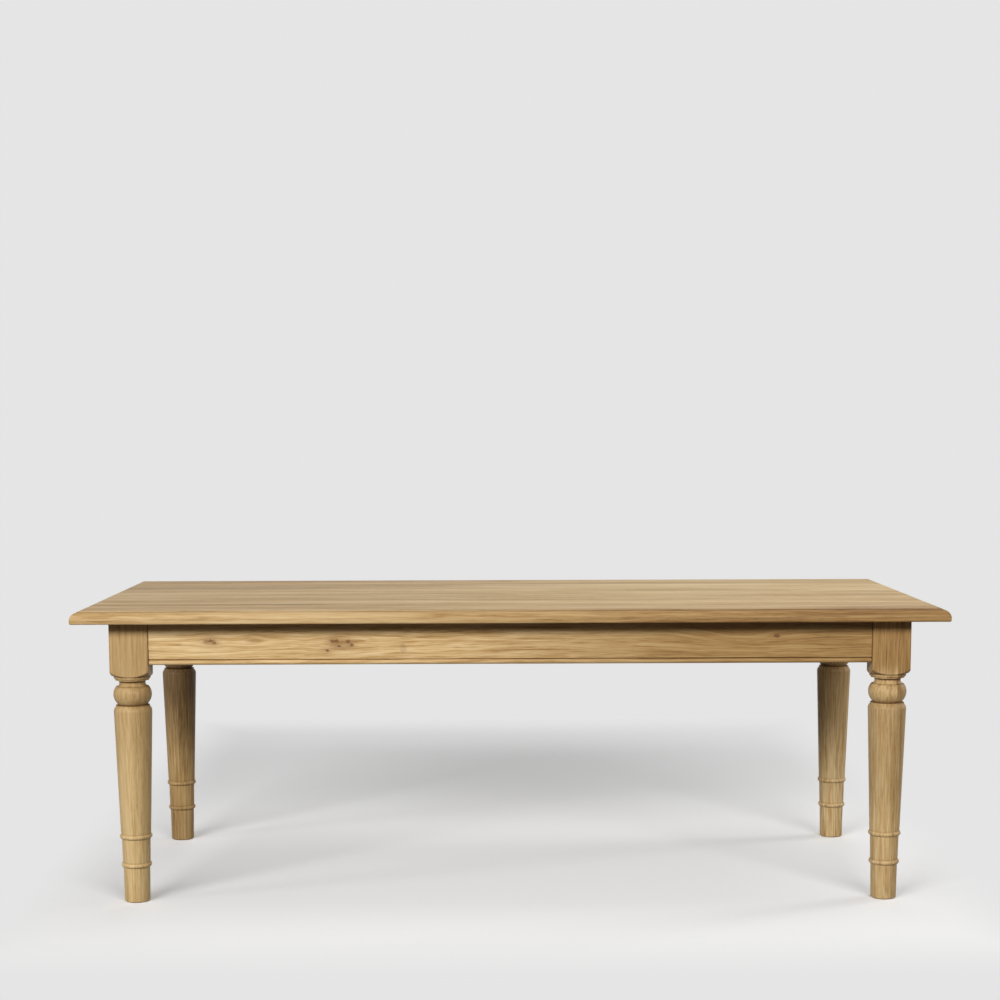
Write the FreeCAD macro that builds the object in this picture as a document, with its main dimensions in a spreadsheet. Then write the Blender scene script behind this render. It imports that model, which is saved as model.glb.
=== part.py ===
import FreeCAD, Part
import math
import os

import Sketcher
from FreeCAD import Placement, Rotation, Vector

# Refectory table in oak, in millimetres.
# The origin is on the floor under the middle of the top. X runs along the table, Y from front to
# back and Z up. Every size below can be changed by itself: the pieces take their places from it.

SIZES = {
    # Overall
    "table_length": 2200,
    "table_width": 1000,
    "table_height": 760,
    "end_overhang": 85,
    "side_overhang": 65,
    # Top boards and the loose tongues that line them up
    "top_thickness": 32,
    "edge_quirk": 2,
    "edge_round": 20,
    "edge_ease": 4,
    "tongue_thickness": 8,
    "tongue_width": 20,
    "tongue_stop": 60,
    "glue_room": 0.5,
    # Legs, turned from a square blank; each cut is measured in from the full round
    "leg_block": 98,
    "block_arris": 2.5,
    "turning_allowance": 0.5,
    "pommel_length": 119.5,
    "shoulder_drop": 22.5,
    "shoulder_round": 55,
    "upper_fillet_cut": 2,
    "upper_fillet_height": 5,
    "lower_fillet_cut": 5.5,
    "lower_fillet_height": 4.5,
    "cove_rim_cut": 8.5,
    "cove_height": 7.5,
    "neck_cut": 15.5,
    "flare_height": 9,
    "flare_cut": 9.5,
    "bulb_rim_cut": 7.5,
    "bulb_rise": 20,
    "bulb_fall": 26.5,
    "waist_cut": 11.8,
    "waist_height": 2,
    "collar_cut": 5.5,
    "collar_height": 3.5,
    "shaft_shoulder": 12,
    "taper_end_radius": 38.2,
    "ring_one_level": 171,
    "ring_one_half": 9,
    "ring_one_proud": 3.2,
    "ring_one_step": 1.8,
    "ankle_taper": 1.2,
    "ring_two_level": 96.5,
    "ring_two_half": 9.5,
    "ring_two_proud": 3.6,
    "ring_two_step": 1.3,
    "foot_taper": 1.4,
    "foot_chamfer": 3,
    # Aprons, with a bead along the lower edge and a groove inside for the top buttons
    "apron_height": 110,
    "apron_thickness": 24,
    "apron_setback": 5,
    "bead_radius": 6,
    "bead_quirk": 3,
    "groove_drop": 10,
    "groove_width": 10,
    "groove_depth": 9,
    # Corner blocks, tongued into the aprons, and the flat that faces them on each leg
    "bolt_flat": 34,
    "clamp_gap": 8,
    "corner_thickness": 34,
    "corner_height": 90,
    "corner_drop": 4,
    "ear_thickness": 22,
    "ear_length": 34,
    "housing_inset": 7,
    "housing_width": 10,
    "housing_depth": 8,
    # Bearers across the underside of the top
    "bearer_width": 70,
    "bearer_height": 34,
    "bearer_spacing": 640,
    "bearer_housing": 8,
    "slot_length": 14,
    "slot_radius": 3,
    "counterbore_depth": 14,
    "counterbore_radius": 9,
    "counterbore_length": 28,
    # Wooden buttons that hold the top down and let it move
    "button_length": 36,
    "button_width": 40,
    "button_height": 22,
    "button_gap": 1.5,
    "button_tongue": 9,
    # Fixings
    "fit_clearance": 0.1,
    "bolt_radius": 4,
    "bolt_bite": 55,
    "bolt_tail": 6,
    "nut_radius": 7.5,
    "nut_height": 6.5,
    "washer_radius": 12,
    "washer_thickness": 2,
    "screw_radius": 2.5,
    "screw_head_radius": 4.8,
    "screw_head_height": 3,
    "corner_screw_length": 38,
    "button_screw_length": 36,
    "bearer_screw_length": 40,
    "screw_washer_radius": 7,
    "screw_washer_thickness": 1.5,
    # How far a cut runs past the wood it cuts
    "overrun": 5,
}

BOARD_COUNT = 6
BOLT_HEIGHT_SHARES = (0.25, 0.75)
EAR_SCREW_HEIGHT_SHARES = (0.2, 0.8)
SIDE_BUTTON_SHARES = (-0.74, -0.17, 0.17, 0.74)
END_BUTTON_BOARDS = (BOARD_COUNT // 2, BOARD_COUNT // 2 + 1)
NUT_SIDE_COUNT = 6
FULL_TURN = 360
EIGHTH_TURN = FULL_TURN / 8

# Corner names with their signs along X and Y and the turn that brings the front left corner there
CORNERS = (
    ("front_left", -1, -1, 0),
    ("front_right", 1, -1, 90),
    ("back_right", 1, 1, 180),
    ("back_left", -1, 1, 270),
)

doc = FreeCAD.newDocument("RefectoryTable")
sheet = doc.addObject("Spreadsheet::Sheet", "Size")
for row, (alias, size) in enumerate(SIZES.items(), start=1):
    sheet.set(f"A{row}", alias)
    sheet.set(f"B{row}", str(size))
    sheet.setAlias(f"B{row}", alias)
doc.recompute()

UP = Vector(0, 0, 1)
ALONG = Vector(1, 0, 0)
DEEP = Vector(0, 1, 0)
DIAGONAL = Vector(1, 1, 0)

# Levels and places that several pieces share, as expressions on the sheet
under_top = "(Size.table_height - Size.top_thickness)"
leg_x = "(Size.table_length / 2 - Size.end_overhang - Size.leg_block / 2)"
leg_y = "(Size.table_width / 2 - Size.side_overhang - Size.leg_block / 2)"
long_apron = f"(2 * {leg_x} - Size.leg_block)"
short_apron = f"(2 * {leg_y} - Size.leg_block)"
apron_y = f"({leg_y} + Size.leg_block / 2 - Size.apron_setback)"
apron_x = f"({leg_x} + Size.leg_block / 2 - Size.apron_setback)"
apron_base = f"({under_top} - Size.apron_height)"
board_width = f"(Size.table_width / {BOARD_COUNT})"
hole_radius = "(Size.screw_radius + Size.fit_clearance)"

# Plan of a corner, measured from the leg's axis: the apron's inner face, where the corner block
# starts and ends along it, and the middle of its ear
inner_face = "(Size.apron_setback + Size.apron_thickness - Size.leg_block / 2)"
ear_face = f"({inner_face} + Size.ear_thickness)"
flat_reach = "(Size.leg_block / sqrt(2) - Size.bolt_flat / 2)"
block_sum = f"(sqrt(2) * ({flat_reach} + Size.clamp_gap))"
block_start = f"({block_sum} - {inner_face})"
ear_start = f"({block_sum} + sqrt(2) * Size.corner_thickness - {ear_face})"
ear_end = f"({ear_start} + Size.ear_length)"
ear_middle = f"({ear_start} + Size.ear_length / 2)"
housing_start = f"({block_start} + Size.housing_inset)"
housing_end = f"({housing_start} + Size.housing_width)"
corner_base = f"({under_top} - Size.corner_drop - Size.corner_height)"


def value(expression):
    """Number that an expression on the sheet gives."""
    return float(sheet.evalExpression(expression))


def new_body(name):
    """Empty body for one piece, labelled with the piece's name."""
    body = doc.addObject("PartDesign::Body", name)
    body.Label = name
    return body


def sketch_on(body, name, role, lift="0", turn=0):
    """Sketch on one of the body's own planes, turned about its upright and lifted along its normal."""
    sketch = body.newObject("Sketcher::SketchObject", f"{body.Name}_{name}")
    plane = next(feature for feature in body.Origin.OriginFeatures if feature.Role == role)
    sketch.AttachmentSupport = [(plane, "")]
    sketch.MapMode = "FlatFace"
    sketch.AttachmentOffset = Placement(Vector(), Rotation(DEEP, turn))
    sketch.setExpression("AttachmentOffset.Base.x", f"{lift} * {math.sin(math.radians(turn))}")
    sketch.setExpression("AttachmentOffset.Base.z", f"{lift} * {math.cos(math.radians(turn))}")
    return sketch


def tie(sketch, edge, end, across, up):
    """Hold one end of an edge at its place from the sketch's origin."""
    for kind, place in (("DistanceX", across), ("DistanceY", up)):
        index = sketch.addConstraint(Sketcher.Constraint(kind, -1, 1, edge, end, value(place)))
        sketch.setExpression(f"Constraints[{index}]", place)


def arc_between(start, finish, radius, side):
    """Arc from start to finish whose centre lies to the left (1) or the right (-1) of that way."""
    chord = finish - start
    rise = math.sqrt(max(radius ** 2 - (chord.Length / 2) ** 2, 0))
    normal = Vector(-chord.y, chord.x, 0).normalize()
    centre = start + chord / 2 + normal * rise * side
    angles = [math.atan2(point.y - centre.y, point.x - centre.x) for point in (start, finish)]
    if side < 0:
        angles.reverse()
    return Part.ArcOfCircle(Part.Circle(centre, UP, radius), *angles)


def outline(sketch, corners):
    """Closed outline through the corners, each (across, up) with an expression for both.

    A corner may add (radius, side): the edge that leaves it is then an arc of that radius, with
    its centre to the left (1) or the right (-1) of the way round.
    """
    points = [Vector(value(corner[0]), value(corner[1]), 0) for corner in corners]
    first = sketch.GeometryCount
    ends = []
    for index, corner in enumerate(corners):
        start = points[index]
        finish = points[(index + 1) % len(points)]
        if corner[2:]:
            sketch.addGeometry(arc_between(start, finish, value(corner[2]), corner[3]))
            ends.append((1, 2) if corner[3] > 0 else (2, 1))
        else:
            sketch.addGeometry(Part.LineSegment(start, finish))
            ends.append((1, 2))
    for index, corner in enumerate(corners):
        following = (index + 1) % len(corners)
        sketch.addConstraint(Sketcher.Constraint(
            "Coincident", first + index, ends[index][1], first + following, ends[following][0]))
        tie(sketch, first + index, ends[index][0], corner[0], corner[1])
        if corner[2:]:
            number = sketch.addConstraint(Sketcher.Constraint("Radius", first + index, value(corner[2])))
            sketch.setExpression(f"Constraints[{number}]", corner[2])


def rectangle(sketch, left, right, low, high):
    """Rectangle between two places across and two places up."""
    outline(sketch, [(left, low), (right, low), (right, high), (left, high)])


def slot(sketch, across, up, length, radius):
    """Round-ended slot that runs up the sketch, with its middle at (across, up)."""
    reach = f"({length} / 2 - {radius})"
    outline(sketch, [
        (f"{across} - {radius}", f"{up} - {reach}", radius, 1),
        (across, f"{up} - {length} / 2", radius, 1),
        (f"{across} + {radius}", f"{up} - {reach}"),
        (f"{across} + {radius}", f"{up} + {reach}", radius, 1),
        (across, f"{up} + {length} / 2", radius, 1),
        (f"{across} - {radius}", f"{up} + {reach}"),
    ])


def circles(sketch, centres, radius):
    """Circles of one radius at the given places."""
    for across, up in centres:
        edge = sketch.addGeometry(Part.Circle(Vector(value(across), value(up), 0), UP, value(radius)))
        tie(sketch, edge, 3, across, up)
        index = sketch.addConstraint(Sketcher.Constraint("Radius", edge, value(radius)))
        sketch.setExpression(f"Constraints[{index}]", radius)


def pad(sketch, length, symmetric=False):
    """Pad of a sketch to a length, away from it or to both sides of it."""
    feature = sketch.getParentGeoFeatureGroup().newObject("PartDesign::Pad", f"{sketch.Name}_pad")
    feature.Profile = sketch
    feature.SideType = "Symmetric" if symmetric else "One side"
    feature.setExpression("Length", length)
    return feature


def pocket(sketch, length):
    """Pocket of a sketch that cuts to both sides of it, over the length in all."""
    feature = sketch.getParentGeoFeatureGroup().newObject("PartDesign::Pocket", f"{sketch.Name}_pocket")
    feature.Profile = sketch
    feature.SideType = "Symmetric"
    feature.setExpression("Length", length)
    return feature


def turned(sketch, kind):
    """Full turn of a sketch about its upright axis: a Revolution adds it and a Groove cuts it."""
    feature = sketch.getParentGeoFeatureGroup().newObject(f"PartDesign::{kind}", f"{sketch.Name}_turned")
    feature.Profile = sketch
    feature.ReferenceAxis = (sketch, ["V_Axis"])
    feature.Angle = FULL_TURN
    return feature


def place(piece, across, deep, up, turn=Rotation()):
    """Put a piece at a place given by expressions, with a fixed turn."""
    piece.Placement = Placement(Vector(), turn)
    for axis, expression in (("x", across), ("y", deep), ("z", up)):
        piece.setExpression(f"Placement.Base.{axis}", expression)
    return piece


def about_upright(angle):
    """Turn about the upright axis."""
    return Rotation(UP, angle)


def copy_of(piece, name, across, deep, up, turn=Rotation()):
    """Linked copy of a piece at a place of its own."""
    link = doc.addObject("App::Link", name)
    link.LinkedObject = piece
    return place(link, across, deep, up, turn)


def group(name, members):
    """One node that holds several separate solids."""
    compound = doc.addObject("Part::Compound", name)
    compound.Label = name
    compound.Links = members
    return compound


def at_corners(name, members):
    """Copies at the four corners of pieces laid out about the front left leg's axis."""
    one_corner = group(f"{name}_corner", members)
    copies = [
        copy_of(one_corner, f"{name}_{corner}", f"{side} * {leg_x}", f"{depth} * {leg_y}", "0",
                about_upright(turn))
        for corner, side, depth, turn in CORNERS
    ]
    return group(name, copies)


def bow(rise, run):
    """Radius of an arc that rises by this much over a run and ends level with it."""
    return f"((({rise}) ^ 2 + ({run}) ^ 2) / (2 * ({rise})))"


def board_middle(number):
    """Place along Y of the middle of a top board, counted from the front."""
    return f"({number - (BOARD_COUNT + 1) / 2} * {board_width})"


# Places along X and Y of the fixings that hold the top down
bearer_places = [f"{side} * Size.bearer_spacing / 2" for side in (-1, 1)]
button_middle = "(Size.apron_thickness + Size.button_gap + Size.button_length / 2)"
side_button_places = [f"({share} * {long_apron} / 2)" for share in SIDE_BUTTON_SHARES]
side_button_y = f"({apron_y} - {button_middle})"
end_button_x = f"({apron_x} - {button_middle})"
bearer_boards = range(2, BOARD_COUNT)


def top_board(number):
    """One board of the top, with moulded ends and, on the outer boards, a moulded long edge.

    The outline is the board's side view: a flat top that drops a small quirk to a quarter round,
    then an upright edge and an eased lower arris. The back boards are front boards turned round.
    """
    body = new_body(f"top_board_{number}")
    half = "(Size.table_length / 2)"
    low = "(Size.top_thickness - Size.edge_quirk - Size.edge_round)"
    high = "(Size.top_thickness - Size.edge_quirk)"
    side_view = sketch_on(body, "side_view", "XZ_Plane")
    outline(side_view, [
        (f"Size.edge_ease - {half}", "0"),
        (f"{half} - Size.edge_ease", "0", "Size.edge_ease", 1),
        (half, "Size.edge_ease"),
        (half, low, "Size.edge_round", 1),
        (f"{half} - Size.edge_round", high),
        (f"{half} - Size.edge_round", "Size.top_thickness"),
        (f"Size.edge_round - {half}", "Size.top_thickness"),
        (f"Size.edge_round - {half}", high, "Size.edge_round", 1),
        (f"-{half}", low),
        (f"-{half}", "Size.edge_ease", "Size.edge_ease", 1),
    ])
    pad(side_view, board_width, symmetric=True)

    from_edge = number if number <= BOARD_COUNT / 2 else BOARD_COUNT + 1 - number
    is_back = number > BOARD_COUNT / 2
    edge = f"({board_width} / 2)"
    if from_edge == 1:
        waste = sketch_on(body, "edge_waste", "YZ_Plane")
        outline(waste, [
            (f"Size.edge_ease - {edge}", "0", "Size.edge_ease", -1),
            (f"-{edge}", "Size.edge_ease"),
            (f"-{edge}", low, "Size.edge_round", -1),
            (f"Size.edge_round - {edge}", high),
            (f"Size.edge_round - {edge}", "Size.top_thickness + Size.overrun"),
            (f"-{edge} - Size.overrun", "Size.top_thickness + Size.overrun"),
            (f"-{edge} - Size.overrun", "-Size.overrun"),
            (f"Size.edge_ease - {edge}", "-Size.overrun"),
        ])
        pocket(waste, "Size.table_length + 2 * Size.overrun")

    joints = (1,) if from_edge == 1 else (-1, 1)
    for joint in joints:
        groove = sketch_on(body, "groove_back" if joint > 0 else "groove_front", "XY_Plane",
                           lift="Size.top_thickness / 2")
        inside = f"{joint} * ({edge} - Size.tongue_width / 2 - Size.glue_room)"
        outside = f"{joint} * ({edge} + Size.overrun)"
        reach = f"({half} - Size.tongue_stop)"
        across = (inside, outside) if joint > 0 else (outside, inside)
        rectangle(groove, f"-{reach}", reach, *across)
        pocket(groove, "Size.tongue_thickness")

    pilots = sketch_on(body, "pilots", "XY_Plane")
    if from_edge == 1:
        drilled = [(place_x, f"{board_middle(BOARD_COUNT)} - {side_button_y}")
                   for place_x in side_button_places]
        bite = "(Size.button_screw_length - Size.button_height)"
    else:
        drilled = [(place_x, "0") for place_x in bearer_places]
        bite = ("(Size.bearer_screw_length - Size.screw_washer_thickness - Size.bearer_height"
                " + Size.counterbore_depth)")
    circles(pilots, drilled, hole_radius)
    pocket(pilots, f"2 * ({bite} + Size.glue_room)")

    if number in END_BUTTON_BOARDS:
        end_pilots = sketch_on(body, "end_pilots", "XY_Plane")
        circles(end_pilots, [(f"{side} * {end_button_x}", "0") for side in (-1, 1)], hole_radius)
        pocket(end_pilots, "2 * (Size.button_screw_length - Size.button_height + Size.glue_room)")

    turn = about_upright(FULL_TURN / 2 if is_back else 0)
    return place(body, "0", board_middle(number), under_top, turn)


def top_tongue(number):
    """Loose tongue in the joint between a board and the next one, stopped short of the ends."""
    stick = doc.addObject("Part::Box", f"top_tongue_{number}")
    stick.Label = stick.Name
    reach = "(Size.table_length / 2 - Size.tongue_stop - Size.glue_room)"
    stick.setExpression("Length", f"2 * {reach}")
    stick.setExpression("Width", "Size.tongue_width")
    stick.setExpression("Height", "Size.tongue_thickness")
    joint = f"({board_middle(number)} + {board_width} / 2)"
    return place(stick, f"-{reach}", f"{joint} - Size.tongue_width / 2",
                 f"{under_top} + Size.top_thickness / 2 - Size.tongue_thickness / 2")


def leg_profile():
    """Outline of the waste that the lathe takes off the square blank, from the foot upwards."""
    full = "(Size.leg_block / 2 - Size.turning_allowance)"
    cut = {name: f"({full} - Size.{name}_cut)" for name in (
        "upper_fillet", "lower_fillet", "cove_rim", "neck", "flare", "bulb_rim", "waist", "collar")}

    # Levels below the square, going down
    square_end = f"({under_top} - Size.pommel_length)"
    level = {"square_end": square_end}
    down = square_end
    for name in ("shoulder_drop", "upper_fillet_height", "lower_fillet_height", "cove_height",
                 "flare_height", "bulb_rise", "bulb_fall", "waist_height", "collar_height",
                 "shaft_shoulder"):
        down = f"({down} - Size.{name})"
        level[name] = down

    # Radii of the two rings and of the shank beside them, going down
    ring_one = "(Size.taper_end_radius + Size.ring_one_proud)"
    ankle = "(Size.taper_end_radius - Size.ring_one_step)"
    ankle_end = f"({ankle} - Size.ankle_taper)"
    ring_two = f"({ankle_end} + Size.ring_two_proud)"
    heel = f"({ankle_end} - Size.ring_two_step)"
    foot = f"({heel} - Size.foot_taper)"

    outside = "(Size.leg_block / sqrt(2) + Size.overrun)"
    return [
        (f"{foot} - Size.foot_chamfer", "0"),
        (foot, "Size.foot_chamfer"),
        (heel, "Size.ring_two_level - Size.ring_two_half",
         bow(f"{ring_two} - {heel}", "Size.ring_two_half"), 1),
        (ring_two, "Size.ring_two_level", bow("Size.ring_two_proud", "Size.ring_two_half"), 1),
        (ankle_end, "Size.ring_two_level + Size.ring_two_half"),
        (ankle, "Size.ring_one_level - Size.ring_one_half",
         bow(f"{ring_one} - {ankle}", "Size.ring_one_half"), 1),
        (ring_one, "Size.ring_one_level", bow("Size.ring_one_proud", "Size.ring_one_half"), 1),
        ("Size.taper_end_radius", "Size.ring_one_level + Size.ring_one_half"),
        (full, level["shaft_shoulder"], bow("Size.collar_cut", "Size.shaft_shoulder"), 1),
        (cut["collar"], level["collar_height"]),
        (cut["collar"], level["waist_height"]),
        (cut["waist"], level["bulb_fall"], bow("Size.waist_cut", "Size.bulb_fall"), 1),
        (full, level["bulb_rise"], bow("Size.bulb_rim_cut", "Size.bulb_rise"), 1),
        (cut["bulb_rim"], level["flare_height"]),
        (cut["flare"], level["flare_height"],
         bow("Size.neck_cut - Size.flare_cut", "Size.flare_height"), -1),
        (cut["neck"], level["cove_height"],
         bow("Size.neck_cut - Size.cove_rim_cut", "Size.cove_height"), -1),
        (cut["cove_rim"], level["lower_fillet_height"]),
        (cut["lower_fillet"], level["lower_fillet_height"]),
        (cut["lower_fillet"], level["upper_fillet_height"]),
        (cut["upper_fillet"], level["upper_fillet_height"]),
        (cut["upper_fillet"], level["shoulder_drop"], "Size.shoulder_round", 1),
        (outside, square_end),
        (outside, "-Size.overrun"),
        (f"{foot} - Size.foot_chamfer", "-Size.overrun"),
    ]


def leg(corner, side, depth, turn):
    """Turned leg: a square blank with a flat on its inner corner, turned below the pommel."""
    body = new_body(f"leg_{corner}")
    half = "(Size.leg_block / 2)"
    straight = f"({half} - Size.block_arris)"
    flat = f"({half} - Size.bolt_flat / sqrt(2))"
    blank = sketch_on(body, "blank", "XY_Plane")
    outline(blank, [
        (f"-{straight}", f"-{half}"),
        (straight, f"-{half}", "Size.block_arris", 1),
        (half, f"-{straight}"),
        (half, flat),
        (flat, half),
        (f"-{straight}", half, "Size.block_arris", 1),
        (f"-{half}", straight),
        (f"-{half}", f"-{straight}", "Size.block_arris", 1),
    ])
    pad(blank, under_top)

    waste = sketch_on(body, "turning", "XZ_Plane")
    outline(waste, leg_profile())
    turned(waste, "Groove")

    holes = sketch_on(body, "bolt_holes", "YZ_Plane", lift=flat_reach, turn=EIGHTH_TURN)
    heights = [("0", f"{corner_base} + {share} * Size.corner_height") for share in BOLT_HEIGHT_SHARES]
    circles(holes, heights, "Size.bolt_radius + Size.fit_clearance")
    pocket(holes, "2 * (Size.bolt_bite + Size.glue_room)")
    return place(body, f"{side} * {leg_x}", f"{depth} * {leg_y}", "0", about_upright(turn))


def apron(name, length, far_leg, across, deep, turn, bearers):
    """Apron between two legs: a beaded board with housings for the corner blocks and bearers.

    The section is drawn with the outer face at zero and the inner face at the thickness.
    """
    body = new_body(f"apron_{name}")
    groove_top = "(Size.apron_height - Size.groove_drop)"
    groove_base = f"({groove_top} - Size.groove_width)"
    groove_wall = "(Size.apron_thickness - Size.groove_depth)"
    section = sketch_on(body, "section", "YZ_Plane")
    outline(section, [
        ("Size.bead_radius", "0"),
        ("Size.apron_thickness", "0"),
        ("Size.apron_thickness", groove_base),
        (groove_wall, groove_base),
        (groove_wall, groove_top),
        ("Size.apron_thickness", groove_top),
        ("Size.apron_thickness", "Size.apron_height"),
        ("0", "Size.apron_height"),
        ("0", "2 * Size.bead_radius + Size.bead_quirk"),
        ("Size.bead_radius", "2 * Size.bead_radius + Size.bead_quirk"),
        ("Size.bead_radius", "2 * Size.bead_radius", "Size.bead_radius", 1),
        ("0", "Size.bead_radius", "Size.bead_radius", 1),
    ])
    pad(section, length, symmetric=True)

    housings = sketch_on(body, "housings", "XY_Plane")
    wall = "Size.apron_thickness - Size.housing_depth - Size.glue_room"
    open_side = "Size.apron_thickness + Size.overrun"
    rectangle(housings, f"{housing_start} - {far_leg}", f"{housing_end} - {far_leg}", wall, open_side)
    rectangle(housings, f"{far_leg} - {housing_end}", f"{far_leg} - {housing_start}", wall, open_side)
    pocket(housings, "2 * Size.apron_height + Size.overrun")

    pilots = sketch_on(body, "pilots", "XZ_Plane", lift="-Size.apron_thickness")
    drilled = [
        (f"{side} * ({far_leg} - {ear_middle})",
         f"{corner_base} - {apron_base} + {share} * Size.corner_height")
        for side in (-1, 1) for share in EAR_SCREW_HEIGHT_SHARES
    ]
    circles(pilots, drilled, hole_radius)
    pocket(pilots, "2 * (Size.corner_screw_length - Size.ear_thickness + Size.glue_room)")

    if bearers:
        notches = sketch_on(body, "bearer_housings", "XY_Plane", lift="Size.apron_height")
        for middle in bearer_places:
            rectangle(notches, f"{middle} - Size.bearer_width / 2", f"{middle} + Size.bearer_width / 2",
                      "Size.apron_thickness - Size.bearer_housing", open_side)
        pocket(notches, "2 * Size.bearer_height")
    return place(body, across, deep, apron_base, about_upright(turn))


def corner_block(corner, side, depth, turn):
    """Block across a corner, tongued into both aprons, with an ear along each for its screws."""
    body = new_body(f"corner_block_{corner}")
    tongue_end = f"({inner_face} - Size.housing_depth)"
    one_half = [
        (block_start, inner_face),
        (housing_start, inner_face),
        (housing_start, tongue_end),
        (housing_end, tongue_end),
        (housing_end, inner_face),
        (ear_end, inner_face),
        (ear_end, ear_face),
        (ear_start, ear_face),
    ]
    other_half = [(up, across) for across, up in reversed(one_half)]
    plan = sketch_on(body, "plan", "XY_Plane")
    outline(plan, one_half + other_half)
    pad(plan, "Size.corner_height")

    holes = sketch_on(body, "bolt_holes", "YZ_Plane", lift=flat_reach, turn=EIGHTH_TURN)
    heights = [("0", f"{share} * Size.corner_height") for share in BOLT_HEIGHT_SHARES]
    circles(holes, heights, "Size.bolt_radius + Size.fit_clearance")
    pocket(holes, "4 * (Size.clamp_gap + Size.corner_thickness)")

    for role in ("XZ_Plane", "YZ_Plane"):
        ear_holes = sketch_on(body, f"ear_holes_{role}", role)
        places = [(ear_middle, f"{share} * Size.corner_height") for share in EAR_SCREW_HEIGHT_SHARES]
        circles(ear_holes, places, hole_radius)
        pocket(ear_holes, f"2 * (abs({inner_face}) + Size.ear_thickness + Size.overrun)")
    return place(body, f"{side} * {leg_x}", f"{depth} * {leg_y}", corner_base, about_upright(turn))


def bearer(name, middle):
    """Bearer across the underside of the top, housed in both long aprons.

    Its screws stand in slots, counterbored from below, so that the top can move across the grain.
    """
    body = new_body(f"bearer_{name}")
    reach = f"({apron_y} - Size.apron_thickness + Size.bearer_housing)"
    plan = sketch_on(body, "plan", "XY_Plane")
    rectangle(plan, "-Size.bearer_width / 2", "Size.bearer_width / 2", f"-{reach}", reach)
    pad(plan, "Size.bearer_height")

    slots = sketch_on(body, "slots", "XY_Plane")
    counterbores = sketch_on(body, "counterbores", "XY_Plane")
    for number in bearer_boards:
        slot(slots, "0", board_middle(number), "Size.slot_length", "Size.slot_radius")
        slot(counterbores, "0", board_middle(number), "Size.counterbore_length",
             "Size.counterbore_radius")
    pocket(slots, "2 * Size.bearer_height + Size.overrun")
    pocket(counterbores, "2 * Size.counterbore_depth")
    return place(body, middle, "0", f"{under_top} - Size.bearer_height")


def screw(name, length):
    """Pan-head screw along Z: the seat of its head is at zero and its shank hangs below."""
    body = new_body(name)
    side_view = sketch_on(body, "side_view", "XZ_Plane")
    outline(side_view, [
        ("0", f"-{length}"),
        ("Size.screw_radius", f"-{length}"),
        ("Size.screw_radius", "0"),
        ("Size.screw_head_radius", "0"),
        ("Size.screw_head_radius", "Size.screw_head_height"),
        ("0", "Size.screw_head_height"),
    ])
    turned(side_view, "Revolution")
    return body


def ring(name, outer, inner, thickness):
    """Flat ring that lies on zero, such as a washer."""
    disc = doc.addObject("Part::Cylinder", f"{name}_disc")
    disc.setExpression("Radius", outer)
    disc.setExpression("Height", thickness)
    return bored(name, disc, inner, thickness)


def bored(name, solid, radius, thickness):
    """A solid on zero with a hole through it along Z."""
    hole = doc.addObject("Part::Cylinder", f"{name}_hole")
    hole.setExpression("Radius", radius)
    hole.setExpression("Height", f"{thickness} + 2 * Size.overrun")
    place(hole, "0", "0", "-Size.overrun")
    cut = doc.addObject("Part::Cut", name)
    cut.Base = solid
    cut.Tool = hole
    return cut


def hexagon_nut(name):
    """Hexagon nut that lies on zero."""
    prism = doc.addObject("Part::Prism", f"{name}_prism")
    prism.Polygon = NUT_SIDE_COUNT
    prism.setExpression("Circumradius", "Size.nut_radius")
    prism.setExpression("Height", "Size.nut_height")
    return bored(name, prism, "Size.bolt_radius + Size.fit_clearance", "Size.nut_height")


def top_button(name):
    """Wooden button drawn about its screw: its tongue hooks into the groove of the apron at -Y."""
    body = new_body(name)
    front = "(-Size.button_length / 2)"
    tip = f"({front} - Size.button_gap - Size.groove_depth + Size.glue_room)"
    section = sketch_on(body, "section", "YZ_Plane")
    outline(section, [
        (front, "-Size.button_height"),
        ("Size.button_length / 2", "-Size.button_height"),
        ("Size.button_length / 2", "0"),
        (front, "0"),
        (front, "-Size.groove_drop"),
        (tip, "-Size.groove_drop"),
        (tip, "-Size.groove_drop - Size.button_tongue"),
        (front, "-Size.groove_drop - Size.button_tongue"),
    ])
    pad(section, "Size.button_width", symmetric=True)
    hole = sketch_on(body, "hole", "XY_Plane")
    circles(hole, [("0", "0")], hole_radius)
    pocket(hole, "2 * Size.button_height + Size.overrun")
    return body


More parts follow.
